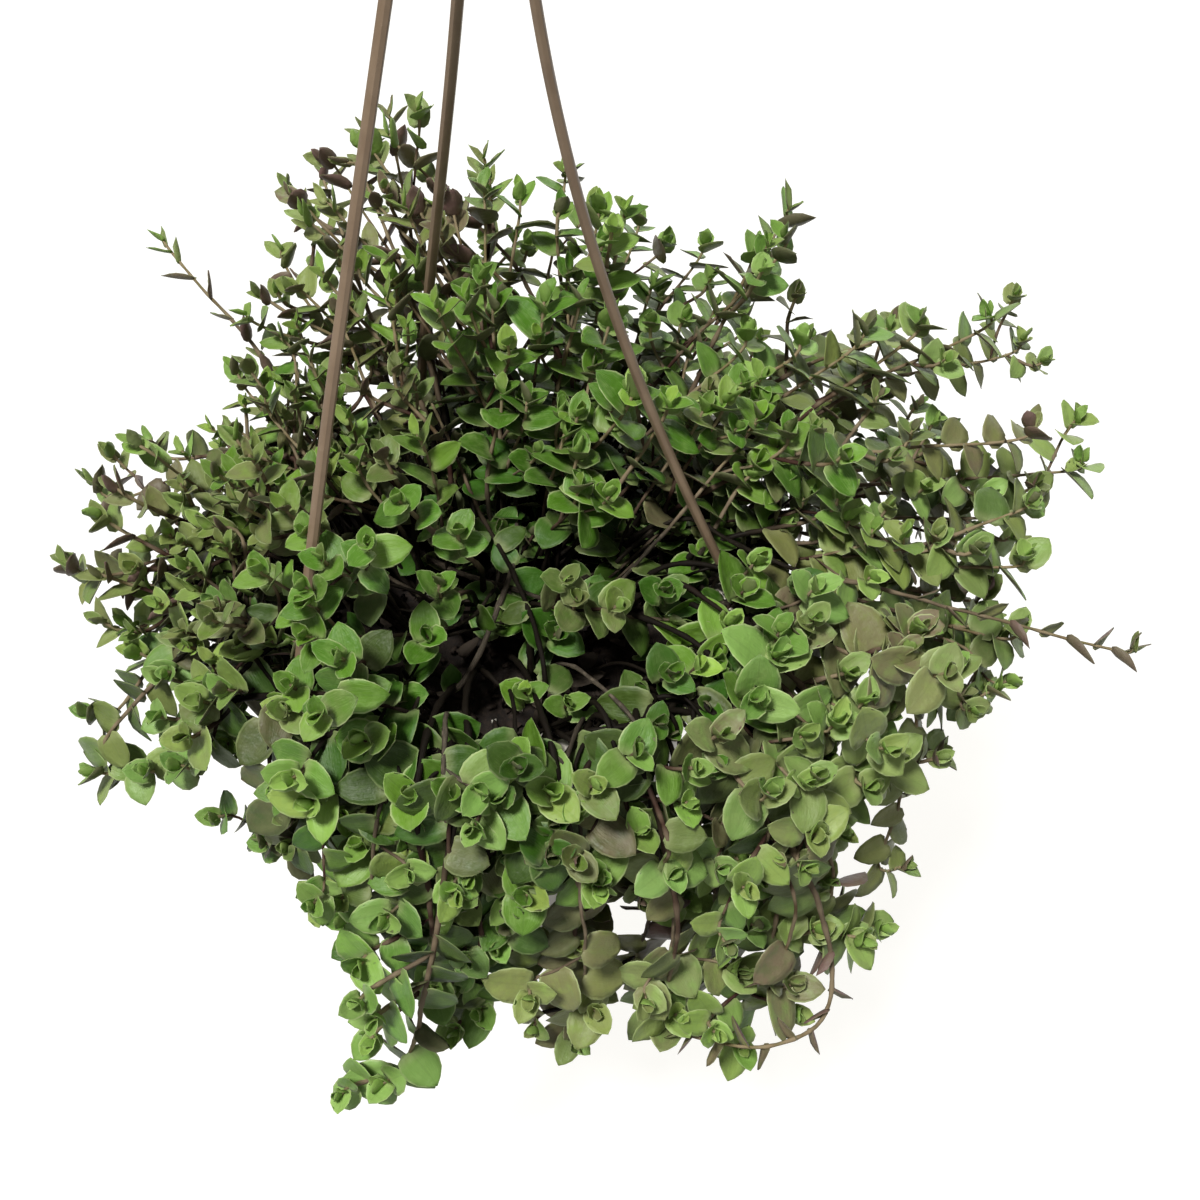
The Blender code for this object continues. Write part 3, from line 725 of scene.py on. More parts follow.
def how_open(point):
    """1 in the open, shaded middle of the crown, down to 0 outside it."""
    x = (point.x - RIM.x - OPEN_MIDDLE.x) / OPEN_HALF[0]
    y = (point.y - RIM.y - OPEN_MIDDLE.y) / OPEN_HALF[1]
    low = smooth_step(OPEN_TOP * 1.3, OPEN_TOP, point.z - RIM.z)
    return smooth_step(1.15, 0.85, math.hypot(x, y)) * low


def painted_inner_shade(point):
    """1 deep inside the crown, where leaves and stems get an older, darker colour as painted shade, down to
    0 at its outside.
    """
    return smooth_step(104 * MM, 84 * MM, off_axis(point)) * smooth_step(36 * MM, 12 * MM, point.z - RIM.z)


def node_places(total, bare, stretch, thin, chance):
    """Distances from a stem's foot to its leaf nodes, the youngest first."""
    places = []
    back = 0.4 * MM
    internode = blend(*FIRST_INTERNODE, thin) * MM
    while total - back > bare:
        places.append(total - back)
        back += internode * chance.uniform(0.85, 1.15)
        internode = min(internode * (1.40 + 0.12 * stretch), LONGEST_INTERNODE * stretch)
    return places


def grow_shoot(form, points, style, canopy, tag, chance):
    """A stem through the points with its leaves. Returns the places where side shoots can start."""
    line = kinked(resample(smooth_line(points, 10), LINE_STEP), style["kink"])
    total = LINE_STEP * (len(line) - 1)
    frames = frames_along(line, polar(chance.uniform(0, 360), 1, 0.1))
    bare = max(total * style["bare"], total - style["leafy"])
    leaves = node_places(total, bare, style["stretch"], style["thin"], chance)
    knots = list(leaves)
    place = min(leaves) - 9 * MM
    while place > 3 * MM:
        knots.append(place)
        place -= chance.uniform(8, 13) * MM
    add_noded_stem(form, line, total, knots, style, chance)
    turn = chance.uniform(0, 2 * math.pi)
    rank = 1
    starts = []
    for number, place in enumerate(leaves):
        i = min(len(line) - 2, int(place / LINE_STEP))
        ahead, side, up = frames[i]
        if number > ROSETTE and chance.random() < style["avoid_open"] * how_open(line[i]):
            continue
        if number > 2 * ROSETTE and line[i].z < RIM.z - 12 * MM and chance.random() < HANGING_LOSS:
            continue
        light = to_light(line[i])
        turn += math.radians(chance.gauss(style["divergence"], 9))
        rank = -rank
        out = side * math.cos(turn) + up * math.sin(turn)
        flank = ahead.cross(light)
        if flank.length > 0.05:
            pull = smooth_step(0.95, 0.35, ahead.dot(light)) * 0.75
            flank = flank.normalized() * rank
            out = (out * (1 - pull) + flank * pull).normalized()
            out = (out - ahead * out.dot(ahead)).normalized()
        put_leaf(form, line[i], ahead, out, light, number, total - place, style, canopy, tag, chance)
        if number > ROSETTE:
            starts.append((line[i].copy(), ahead.copy(), out.copy()))
    return starts


def add_noded_stem(form, line, total, knots, style, chance):
    """The stem's skin: thicker at each node, with a papery sheath just above it."""
    picked = list(range(0, len(line) - 1, STEM_RING_EVERY)) + [len(line) - 1]
    places = np.array([i * LINE_STEP for i in picked])
    knots = np.array(knots)
    above = places[:, None] - knots[None, :]
    swell = np.exp(-(above / (0.9 * MM)) ** 2).max(axis=1)
    sheath = np.where((above > -0.6 * MM) & (above < 3.2 * MM), 1, 0).max(axis=1).astype(float)
    grown = 1 - places / total
    girth = STEM_TIP_R + (style["girth"] - STEM_TIP_R) * np.minimum(1, grown * 1.8)
    radii = girth * (1 + 0.28 * swell + 0.10 * sheath)
    shaded = np.array([painted_inner_shade(line[i]) for i in picked])
    # Painted shade: stems deep in the crown get a darker colour through the age mark.
    age = np.minimum(1, grown * style["stem_age"] + 0.6 * shaded)
    add_stem(form, [line[i] for i in picked], radii, sheath, age, style["tint"] + chance.uniform(-0.3, 0.3))


def put_leaf(form, at, ahead, out, light, number, back, style, canopy, tag, chance):
    """Leaf number 0 is the youngest, rolled round the tip; older ones open and lie flat."""
    number += 1.6 * style["thin"]
    opened = min(1, number / OPEN_LEAF)
    size = blend(YOUNGEST_SIZE, 1.0, min(1, number / GROWN_LEAF)) * style["size"]
    size *= chance.uniform(0.88, 1.1)
    size *= blend(1.0, 0.86, smooth_step(30 * MM, 70 * MM, back))
    spread = blend(SPREAD_AT_TIP, style["spread"], opened ** 0.8)
    angle = math.radians(spread + chance.gauss(0, 5) * opened)
    midrib = (ahead * math.cos(angle) + out * math.sin(angle)).normalized()
    normal = (ahead * math.sin(angle) - out * math.cos(angle)).normalized()
    turned = blend(style["turn"], style["face"], smooth_step(0.0, 0.75, ahead.dot(light))) * opened
    normal = normal * (1 - turned) + light * turned
    normal += stray(chance, style["loose"]) * opened
    long = LEAF_LONG * size * (1 + 0.06 * chance.gauss(0, 1))
    wide = LEAF_WIDE * size * style["slim"] * (1 + 0.05 * chance.gauss(0, 1))
    cup = blend(ROLLED_CUP, style["cup"], smooth_step(0, 3.6, number)) * chance.uniform(0.8, 1.2)
    bend = blend(-0.35, style["recurve"], opened) + chance.gauss(0, 0.12)
    tip = at + midrib * long
    if not canopy.in_box(tip):
        return
    gap = blend(LITTLE_LEAF_GAP, GROWN_LEAF_GAP, smooth_step(6, 12, number))
    if number > 3 and not canopy.free(at, tip, gap, tag):
        return
    canopy.take(at, tip, tag)
    grown = min(1, number / 8) * 0.75 + smooth_step(10 * MM, 50 * MM, back) * 0.3
    # Painted shade: deep in the crown a leaf gets an older, darker colour and loses its pale tone.
    inside = painted_inner_shade(at) * smooth_step(3, 6, number)
    marks = {
        "age": min(1, max(0, grown + style["age"] + 0.5 * inside)),
        "tint": max(-1, min(1, style["leaf_tint"] + chance.gauss(0, 0.35))),
        "bronze": max(0, min(1, style["bronze"] + chance.gauss(0, 0.12))),
        "pale": style["pale"] * (1 - inside),
    }
    fold = style["fold"] * opened
    add_leaf(form, at, midrib, normal, long, wide, bend, cup, fold, marks, chance)


# ---------------------------------------------------------------- where shoots go

def outline_at(azimuth):
    """The plant's crest radius, crest height, reach and drop at an azimuth, in metres."""
    azimuth %= 360
    for low, high in zip(OUTLINE, OUTLINE[1:]):
        if low[0] <= azimuth <= high[0]:
            share = (azimuth - low[0]) / (high[0] - low[0])
            return [blend(a, b, share) * MM for a, b in zip(low[1:], high[1:])]
    raise ValueError("azimuth outside the outline")


def shoot_route(azimuth, reach, height, arch, facing, sway, root_r, wander, chance):
    """A stem from the soil to its tip, as a few points."""
    start = azimuth + sway
    foot = RIM + polar(start + wander, root_r, 0)
    foot.z = SOIL_HIGH.z - 3 * MM
    tip = RIM + polar(azimuth, reach, height)
    up = math.radians(facing)
    face = polar(azimuth - 2 * sway, math.cos(up), math.sin(up))
    points = [foot, foot + polar(start - wander * 2, 3 * MM, 6 * MM)]

    if height < 12 * MM and reach > LIP_R:
        middle = polar(start + wander / 2, blend(root_r, RIM_CLEAR_R, 0.5), arch)
        points.append(RIM + middle + stray(chance, 1.5 * MM))
        points.append(RIM + polar(start, RIM_CLEAR_R, max(5 * MM, arch * 0.6)) + stray(chance, 1 * MM))
        if height < -20 * MM:
            bulge = max(RIM_CLEAR_R + 2 * MM, blend(RIM_CLEAR_R, reach, 0.8))
            points.append(RIM + polar(azimuth + sway * 0.6, bulge, height * 0.5) + stray(chance, 1.5 * MM))
    else:
        lift = max(arch, height * 0.45)
        middle = polar(start + wander / 2, blend(root_r, reach, 0.45), lift)
        points.append(RIM + middle + stray(chance, 2 * MM))
    return points + [tip - face * STRAIGHT_TIP * MM, tip]


def leaf_size(azimuth, reach, height):
    """Leaves are largest where the plant hangs in front, and smallest on the left and in the middle."""
    front = smooth_step(0.0, 0.7, toward(azimuth, 285)) * smooth_step(34 * MM, 14 * MM, height)
    left = smooth_step(0.2, 0.8, toward(azimuth, 178))
    outside = smooth_step(84 * MM, 110 * MM, reach)
    return blend(blend(0.88, 0.92, outside), 1.0, front) * blend(1.0, 0.90, left)


def style_for(azimuth, reach, height, lanky, chance):
    """How a shoot looks, from where it is.

    At the back and upper left the leaves are narrow, folded like boats and bronze. On the left they
    are small and dull. In the middle they are a full green, and in front broad and paler.
    """
    back = smooth_step(0.15, 0.8, toward(azimuth, 90))
    left = smooth_step(0.25, 0.85, toward(azimuth, 172)) * smooth_step(-10 * MM, 14 * MM, height)
    right = smooth_step(0.3, 0.9, toward(azimuth, 0)) * smooth_step(90 * MM, 125 * MM, reach)
    low_right = smooth_step(0.9, 0.99, toward(azimuth, 302)) * smooth_step(-30 * MM, -60 * MM, height)
    high = smooth_step(48 * MM, 76 * MM, height) * back
    upper_left = max(high * smooth_step(80, 105, azimuth), left)
    thin = max(high * blend(0.35, 0.8, smooth_step(80, 105, azimuth)), left * 0.6, lanky)
    dull = max(upper_left, right * 0.7, low_right)
    outside = smooth_step(60 * MM, 112 * MM, reach)
    middle = smooth_step(88 * MM, 56 * MM, reach)
    front = smooth_step(0.1, 0.7, toward(azimuth, 272))
    return {
        "bare": chance.uniform(0.22, 0.40),
        "avoid_open": 0.9,
        "leafy": chance.uniform(46, 78) * MM,
        "stretch": blend(blend(0.95, 0.78, front), 1.25, thin) * chance.uniform(0.85, 1.2),
        "divergence": chance.choice((140, 152, 168)),
        "thin": thin,
        "size": chance.uniform(0.84, 1.08) * blend(1.0, 0.98, thin) * leaf_size(azimuth, reach, height),
        "spread": chance.uniform(58, 86) - 16 * thin,
        "slim": blend(chance.uniform(0.90, 1.06), 0.50, thin),
        "recurve": chance.uniform(-0.1, 0.5) * (1 - thin) - 0.15 * thin,
        "face": blend(0.35, 0.05, thin) * chance.uniform(0.6, 1.2),
        "turn": blend(chance.uniform(0.6, 0.95), 0.30, thin),
        "loose": blend(0.20, 0.34, left),
        "fold": blend(0.10, 0.42, thin),
        "cup": chance.uniform(30, 80),
        "kink": 1.1 * MM,
        "girth": STEM_R * chance.uniform(0.65, 1.45),
        "stem_age": chance.uniform(0.75, 1.1),
        "tint": chance.uniform(-1, 1),
        "age": chance.uniform(-0.22, 0.32) + 0.15 * right + 0.1 * middle,
        "pale": max(0, min(1, outside * 0.85 - 0.12 - 0.2 * middle + chance.gauss(0, 0.22))),
        "leaf_tint": chance.uniform(-0.45, 0.45) + blend(-0.5, 0.0, outside) + 0.5 * dull - 0.5 * middle,
        "bronze": (upper_left * chance.uniform(0.0, 0.6) + 0.45 * right * chance.random()
                   + (0.5 if chance.random() < 0.10 - 0.07 * middle + 0.55 * low_right else 0.0)),
    }


def side_route(start, ahead, out, long):
    """A side shoot: out from a node, then turning to the light."""
    light = to_light(start)
    way = (ahead * 0.7 + out * 0.9 + light * 0.3).normalized()
    end = start + way * long * 0.75 + light * long * 0.35
    flat = flat_from_axis(end)
    past_lip = LIP_R + 10 * MM
    if end.z < RIM.z + 4 * MM and flat.length < past_lip:
        end += flat.normalized() * (past_lip - flat.length)
    face = (way * 0.35 + light).normalized()
    return [start, start + way * long * 0.35, end - face * long * 0.3, end]


def grow_rooted(name, route, style, sides, canopy, finishes, chance):
    """One rooted shoot with its side shoots, as one piece."""
    form = Form()
    starts = grow_shoot(form, route, style, canopy, name, chance)
    chance.shuffle(starts)
    for number, (start, ahead, out) in enumerate(starts[:sides]):
        child = dict(style, age=style["age"] - 0.12, girth=style["girth"] * 0.72, stem_age=0.6,
                     stretch=max(1, style["stretch"] * 0.9))
        child["bare"] = chance.uniform(0.08, 0.22)
        child["size"] = style["size"] * chance.uniform(0.8, 1.0)
        child_route = side_route(start, ahead, out, chance.uniform(14, 28) * MM)
        grow_shoot(form, child_route, child, canopy, f"{name}_{number}", chance)
    return form.make(name, finishes)


def luck(*names):
    """A random stream of its own for one shoot or one group of them."""
    return random.Random(f"{SEED} {names}")


def build_plant(strand_lines, finishes):
    """Every shoot: first those that the CAD has, then the ones round them."""
    canopy = Canopy(strand_lines)
    number = 0
    tips = []
    for side, shoots in SHOOTS.items():
        for count, (azimuth, reach, height, arch, facing) in enumerate(shoots, 1):
            number += 1
            key = f"{side}_{count:02d}"
            chance = luck(key)
            root_r = ROOT_RINGS[number % len(ROOT_RINGS)] * min(1, reach * MM / LIP_R)
            lanky = 1.0 if key in LANKY else 0.0
            style = style_for(azimuth, reach * MM, height * MM, lanky, chance)
            route = shoot_route(azimuth, reach * MM, height * MM, arch * MM, facing, SWAY.get(key, 0),
                                root_r, 0, chance)
            if height < -40:
                style["leafy"] = chance.uniform(68, 88) * MM
            if reach > 130 and not lanky:
                style["leafy"] = chance.uniform(92, 125) * MM
            if over_hollow(azimuth, reach * MM, height * MM):
                style["leafy"] = chance.uniform(24, 34) * MM
            sides = 0 if lanky else chance.choice((1, 2, 3)) + (2 if reach > 145 else 0)
            made = grow_rooted(f"vine_{key}", route, style, sides, canopy, finishes, chance)
            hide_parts(f"shoot_{key}")
            tips.append(route[-1])
    build_rows(tips, canopy, finishes)
    build_fill(tips, canopy, finishes)
    build_low(tips, canopy, finishes)
    build_arc(canopy, finishes)
    build_runners(canopy, finishes)


def root_ring(number, azimuth, reach):
    """How far out a shoot that isn't in the CAD is rooted: near the wall on the open front side."""
    if toward(azimuth, FRONT) > 0.1 and reach > INSIDE_R:
        return FRONT_ROOTS[number % len(FRONT_ROOTS)]
    return ROOT_RINGS[number % len(ROOT_RINGS)] * min(1, reach / LIP_R)


def over_open(tip):
    """1 over the middle of the open place, down to 0 outside it."""
    return smooth_step(OPEN_R, OPEN_R * 0.6, (flat_from_axis(tip) - OPEN_MIDDLE).length)


def crowded(tip, tips, spacing):
    return min((tip - other).length for other in tips) < spacing


def over_hollow(azimuth, reach, height):
    """Whether a tip stands over the open middle, where only its top has leaves."""
    return 165 < azimuth < 348 and reach < 72 * MM and height > 14 * MM


def build_rows(tips, canopy, finishes):
    """The other shoots whose tips show, spread along their rows, each with one fan of leaves."""
    made = 0
    for row, (first, last, count, facing, size) in enumerate(ROWS):
        for step in range(count):
            chance = luck("row", row, step)
            azimuth, reach, height = (blend(a, b, (step + 0.5) / count) for a, b in zip(first, last))
            tip = polar(azimuth, reach * MM, height * MM)
            tip += Vector([chance.uniform(-1, 1) * ROW_SCATTER for _ in range(3)])
            azimuth = math.degrees(math.atan2(tip.y, tip.x)) % 360
            reach = math.hypot(tip.x, tip.y)
            height = tip.z
            tip += RIM
            if crowded(tip, tips, TIP_CLEAR):
                continue
            made += 1
            style = style_for(azimuth, reach, height, 0.0, chance)
            style["size"] = size * chance.uniform(0.92, 1.08) * leaf_size(azimuth, reach, height)
            style["slim"] = max(style["slim"], chance.choice((0.0, 0.92)))
            style["leafy"] = chance.uniform(40, 62) * MM
            if over_hollow(azimuth, reach, height):
                style["leafy"] = chance.uniform(18, 28) * MM
            wander = chance.choice((-1, 1)) * chance.uniform(5, 25)
            sway = HIGH_LEFT_SWAY if 92 < azimuth < 160 and height > 40 * MM else 0
            route = shoot_route(azimuth, reach, height, max(8 * MM, height * 0.45), facing, sway,
                                root_ring(made, azimuth, reach), wander, chance)
            sides = chance.choice((0, 1))
            grow_rooted(f"vine_row_{made:03d}", route, style, sides, canopy, finishes, chance)
            tips.append(tip)


def build_arc(canopy, finishes):
    """The long stem that swings round under the front, with small purple leaves near its tip."""
    chance = luck("arc")
    foot = RIM + polar(ARC[0][0], ARC[0][1] * MM, 0)
    foot.z = SOIL_HIGH.z - 3 * MM
    points = [foot] + [RIM + polar(azimuth, reach * MM, height * MM) for azimuth, reach, height in ARC]
    style = style_for(ARC[-1][0], ARC[-1][1] * MM, ARC[-1][2] * MM, 1.0, chance)
    style.update(bronze=0.9, leafy=72 * MM, slim=0.55, stretch=1.0, size=0.72, pale=0.0, age=0.1)
    grow_rooted("vine_arc", points, style, 0, canopy, finishes, chance)


def build_runners(canopy, finishes):
    """Long thin stems that cross the open middle of the crown, with few leaves."""
    for number in range(1, RUNNERS + 1):
        chance = luck("runner", number)
        azimuth = chance.uniform(0, 360)
        across = azimuth + 180 + chance.uniform(-50, 50)
        height = chance.uniform(2, 18) * MM
        foot = RIM + polar(azimuth, chance.uniform(45, 58) * MM, 0)
        foot.z = SOIL_HIGH.z - 2 * MM
        route = [foot, foot + polar(azimuth, 2 * MM, 8 * MM),
                 RIM + OPEN_MIDDLE * 0.5 + polar(azimuth, 32 * MM, height),
                 RIM + OPEN_MIDDLE * 0.6 + polar(across, 16 * MM, height + chance.uniform(0, 10) * MM),
                 RIM + polar(across, chance.uniform(55, 74) * MM, height + chance.uniform(4, 16) * MM)]
        style = style_for(across, 60 * MM, 10 * MM, 0.0, chance)
        style.update(bare=0.1, leafy=1.0, avoid_open=0.2, pale=0.0, bronze=0.0, leaf_tint=-0.6, age=0.2)
        style["stretch"] = chance.uniform(1.8, 2.6)
        style["tint"] = chance.uniform(0.6, 1.3)
        grow_rooted(f"vine_runner_{number:02d}", route, style, 0, canopy, finishes, chance)


def fill_tip(azimuth, share):
    """A place on the plant's outline: share 0 is over the middle of the pot, 1 is its lowest edge."""
    crest_r, crest, reach, drop = outline_at(azimuth)
    low = smooth_step(0.1, 0.8, toward(azimuth, FRONT))
    profile = smooth_line([
        Vector((14 * MM, 0, blend(max(24 * MM, crest * 0.75), 6 * MM, low))),
        Vector((crest_r * 0.6, 0, crest * blend(0.95, 0.35, low))),
        Vector((crest_r, 0, crest)), Vector((blend(crest_r, reach, 0.62), 0, crest * 0.62)),
        Vector((reach, 0, -0.12 * drop)), Vector((blend(RIM_CLEAR_R, reach, 0.8), 0, -0.6 * drop)),
        Vector((blend(RIM_CLEAR_R, reach, 0.6), 0, -drop))], 8)
    lengths = np.cumsum([0] + [(b - a).length for a, b in zip(profile, profile[1:])])
    at = min(int(np.searchsorted(lengths, share * lengths[-1])), len(profile) - 1)
    return profile[at]


def build_fill(tips, canopy, finishes):
    """More shoots between the main ones, their tips spread evenly over the plant's outline."""
    made = 0
    for index in range(FILL_SHOOTS * 14):
        if made == FILL_SHOOTS:
            break
        chance = luck("fill", index)
        azimuth = (index * GOLDEN_ANGLE + chance.uniform(-4, 4)) % 360
        share = chance.random() ** 0.75
        spot = fill_tip(azimuth, share) * chance.uniform(0.88, 1.0)
        tip = RIM + polar(azimuth, spot.x, spot.z)
        clump = 0.5 + 0.5 * noise.noise(tip * 26)
        spacing = blend(FILL_NEAR, FILL_FAR, smooth_step(0.3, 0.7, clump))
        spacing *= leaf_size(azimuth, spot.x, spot.z)
        spacing += OPEN_SPACING * over_open(tip)
        if crowded(tip, tips, spacing):
            continue
        made += 1
        facing = blend(74, 36, smooth_step(0.25, 0.8, share)) + chance.gauss(0, 9)
        root_r = root_ring(index, azimuth, spot.x)
        style = style_for(azimuth, spot.x, spot.z, 0.0, chance)
        wander = chance.choice((-1, 1)) * chance.uniform(5, 35)
        route = shoot_route(azimuth, spot.x, spot.z, max(8 * MM, spot.z * 0.4), facing, 0, root_r,
                            wander, chance)
        sides = chance.choice((0, 1, 2))
        grow_rooted(f"vine_fill_{made:03d}", route, style, sides, canopy, finishes, chance)
        tips.append(tip)


def build_low(tips, canopy, finishes):
    """Short shoots with older-coloured, darker leaves as painted shade: inside the crown, behind its front
    and at the front rim.
    """
    made = 0
    for index in range(LOW_SHOOTS * 12):
        if made == LOW_SHOOTS:
            break
        chance = luck("low", index)
        place = LOW_PLACES[index % 3]
        azimuth = chance.uniform(0, 360)
        reach = 84 * MM * math.sqrt(chance.uniform(0.02, 1))
        height = chance.uniform(2, 20) * MM
        if place != "inside":
            azimuth, reach, height = (chance.uniform(*ends) * unit
                                      for ends, unit in zip(LOW_ENDS[place], (1, MM, MM)))
        tip = RIM + polar(azimuth, reach, height)
        spacing = RIM_SPACING if place == "rim" else LOW_SPACING + 6 * MM * over_open(tip)
        if crowded(tip, tips, spacing):
            continue
        made += 1
        style = style_for(azimuth, reach, height, 0.0, chance)
        # Painted shade: these leaves get an older, darker colour, a deeper tint and no pale tone, as they
        # sit in the crown's shade.
        style["age"] += 0.75 if place == "behind" else 0.45
        style["leaf_tint"] -= 0.35
        style.update(pale=0.0, bare=0.15)
        route = shoot_route(azimuth, reach, height, 6 * MM, chance.uniform(40, 85), 0,
                            min(reach * 0.8, 58 * MM), chance.gauss(0, 20), chance)
        grow_rooted(f"vine_low_{made:03d}", route, style, 1, canopy, finishes, chance)
        tips.append(tip)


# ---------------------------------------------------------------- pot, soil and hanger

STRANDS = {
    "strand_left": (231, (2.5, -2.5), (0, 0.5)),
    "strand_right": (351, (-21.5, 0), (-26.5, -12)),
    "strand_back": (111, (0.5, 1), (-3.5, -9)),
}
STRAND_RING_R = 75.2 * MM
HUB_HOLE_RING_R = 6.0 * MM
HUB_TOP = -45 * MM
HUB_THICK = 4.5 * MM
HUB_R = 11.5 * MM
LIP_THICK = 2.2 * MM
STRAND_WIDE = 3.44 * MM
STRAND_THICK = 2.4 * MM
BUTTON_R = 2.9 * MM
BUTTON_TALL = 3.0 * MM
STRAND_HOLE_R = 2.1 * MM
STRAND_STEPS = 70
HOOK_INNER_R = 12 * MM
HOOK_WIRE_R = 2.6 * MM
SOIL_FOOT_R = 49 * MM
SOIL_RINGS = 26
SOIL_MOUND = 4 * MM
CRUMBS = 420
CRUMB_SIZES = ((0.8, 3.2), (0.6, 1.6), (0.3, 0.8))      # length, width and height in mm
DEAD_LEAVES = 46


def join_rings(form, rings):
    for low, high in zip(rings, rings[1:]):
        for i in range(len(low)):
            j = (i + 1) % len(low)
            form.faces.new((low[i], low[j], high[j], high[i]))


def swept(line, side, outlines):
    """A closed tube. outlines gives each point's outline as pairs in its sideways plane."""
    form = bmesh.new()
    rings = []
    for (_, across, up), point, outline in zip(frames_along(line, side), line, outlines):
        rings.append([form.verts.new(point + across * x + up * y) for x, y in outline])
    join_rings(form, rings)
    form.faces.new(list(reversed(rings[0])))
    form.faces.new(rings[-1])
    return form


def circle(radius, sides):
    turns = [2 * math.pi * i / sides for i in range(sides)]
    return [(radius * math.cos(t), radius * math.sin(t)) for t in turns]


def strand_line(azimuth, low_bow, high_bow):
    """A strand's middle line: straight through the lip and the hub, and bowed between them."""
    out = polar(azimuth, 1, 0)
    across = polar(azimuth + 90, 1, 0)
    low = AXIS + out * STRAND_RING_R
    high = out * HUB_HOLE_RING_R
    straight = 3 * MM
    gap = 0.3 * MM
    lip_run = [low + Vector((0, 0, RIM.z + height)) for height in (-LIP_THICK - gap, 0)]
    hub_run = [high + Vector((0, 0, HUB_TOP + height)) for height in (-HUB_THICK, gap)]
    start = lip_run[-1] + Vector((0, 0, straight))
    end = hub_run[0] - Vector((0, 0, straight))
    low_pull, high_pull = (start + (end - start) * share + (out * bow[0] + across * bow[1]) * MM
                           for share, bow in ((1 / 3, low_bow), (2 / 3, high_bow)))
    run = []
    for step in range(STRAND_STEPS + 1):
        t = step / STRAND_STEPS
        run.append(start * (1 - t) ** 3 + low_pull * 3 * t * (1 - t) ** 2
                   + high_pull * 3 * t ** 2 * (1 - t) + end * t ** 3)
    return lip_run + run + hub_run


def build_strand(name, shape, finish):
    """A strand of flat, six-sided section with softened corners and a turned button on each end."""
    line = strand_line(*shape)
    wide = STRAND_WIDE / 2
    thick = STRAND_THICK / 2
    corners = [(wide, 0), (wide * 0.55, thick), (-wide * 0.55, thick), (-wide, 0),
               (-wide * 0.55, -thick), (wide * 0.55, -thick)]
    section = []
    for i, corner in enumerate(corners):
        for other, share in ((corners[i - 1], 0.12), (corners[(i + 1) % 6], 0.12)):
            section.append(tuple(a + (b - a) * share for a, b in zip(corner, other)))
    sides = len(section)
    button = [(0.0, 0.45), (0.12, 0.8), (0.35, 1.0), (0.85, 1.0), (0.985, 0.93)]
    tall = Vector((0, 0, BUTTON_TALL))
    low = [line[0] - tall * (1 - share) for share, _ in button]
    high = [line[-1] + tall * (1 - share) for share, _ in reversed(button)]
    low_rings = [circle(BUTTON_R * scale, sides) for _, scale in button]
    high_rings = [circle(BUTTON_R * scale, sides) for _, scale in reversed(button)]
    form = swept(low + line + high, polar(shape[0] + 90, 1, 0),
                 low_rings + [section] * len(line) + high_rings)
    made = link(name + "_moulded", mesh_of(form, name), [finish])
    soften(made.data, 28)
    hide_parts(name)
    return line


def turned(profile, segments):
    """A closed turned body about Z. The profile runs from the axis to the axis."""
    form = bmesh.new()
    ends = [form.verts.new((0, 0, profile[0][1])), form.verts.new((0, 0, profile[-1][1]))]
    rings = [[form.verts.new((x, y, z)) for x, y in circle(r, segments)] for r, z in profile[1:-1]]
    join_rings(form, rings)
    for i in range(segments):
        j = (i + 1) % segments
        form.faces.new((ends[0], rings[0][j], rings[0][i]))
        form.faces.new((ends[1], rings[-1][i], rings[-1][j]))
    return form


def rounded(corners, radius, steps=3):
    """The profile with each inner corner replaced by a short curve."""
    out = [corners[0]]
    for before, corner, after in zip(corners, corners[1:], corners[2:]):
        before, corner, after = (np.array(p, float) for p in (before, corner, after))
        back = before - corner
        ahead = after - corner
        reach = min(radius, np.linalg.norm(back) * 0.45, np.linalg.norm(ahead) * 0.45)
        start = corner + back / np.linalg.norm(back) * reach
        end = corner + ahead / np.linalg.norm(ahead) * reach
        for step in range(steps + 1):
            t = step / steps
            point = start * (1 - t) ** 2 + corner * 2 * t * (1 - t) + end * t ** 2
            out.append((float(point[0]), float(point[1])))
    out.append(corners[-1])
    return out


def cut(target, centres, radius, tall):
    """Round holes through the target, each along Z."""
    form = bmesh.new()
    for centre in centres:
        bmesh.ops.create_cone(form, cap_ends=True, segments=24, radius1=radius, radius2=radius, depth=tall,
                              matrix=Matrix.Translation(centre))
    cutter = add_object("cutter", mesh_of(form, "cutter"))
    change = target.modifiers.new("holes", "BOOLEAN")
    change.operation = "DIFFERENCE"
    change.solver = "EXACT"
    change.object = cutter
    freeze(target)
    bpy.data.objects.remove(cutter, do_unlink=True)


def freeze(target):
    """Replace the object's mesh by its evaluated one."""
    depsgraph = bpy.context.evaluated_depsgraph_get()
    mesh = bpy.data.meshes.new_from_object(target.evaluated_get(depsgraph))
    target.modifiers.clear()
    target.data = mesh


def build_pot(finish):
    """The pot: a stepped, rounded lip with strand holes, a slightly flared wall and a foot with drains."""
    top = RIM.z
    base = POT_LOW.z
    neck = 70 * MM
    foot = 52 * MM
    wall = 1.5 * MM
    floor = 2.2 * MM
    corners = [(0, base), (foot, base), (neck, top - LIP_THICK), (LIP_R, top - LIP_THICK), (LIP_R, top),
               (neck - wall, top), (foot - wall, base + floor), (0, base + floor)]
    form = turned(rounded(corners, 1.0 * MM), 120)
    bmesh.ops.translate(form, verts=form.verts, vec=AXIS)
    made = link("pot_shell", mesh_of(form, "pot_shell"), [finish])
    holes = [AXIS + polar(shape[0], STRAND_RING_R, top - LIP_THICK / 2) for shape in STRANDS.values()]
    cut(made, holes, STRAND_HOLE_R, 3 * LIP_THICK)
    drains = [AXIS + polar(60 * (i + 0.2), 30 * MM, base + floor / 2) for i in range(6)]
    cut(made, drains, 3 * MM, 3 * floor)
    soften(made.data, 40)
    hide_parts("pot")


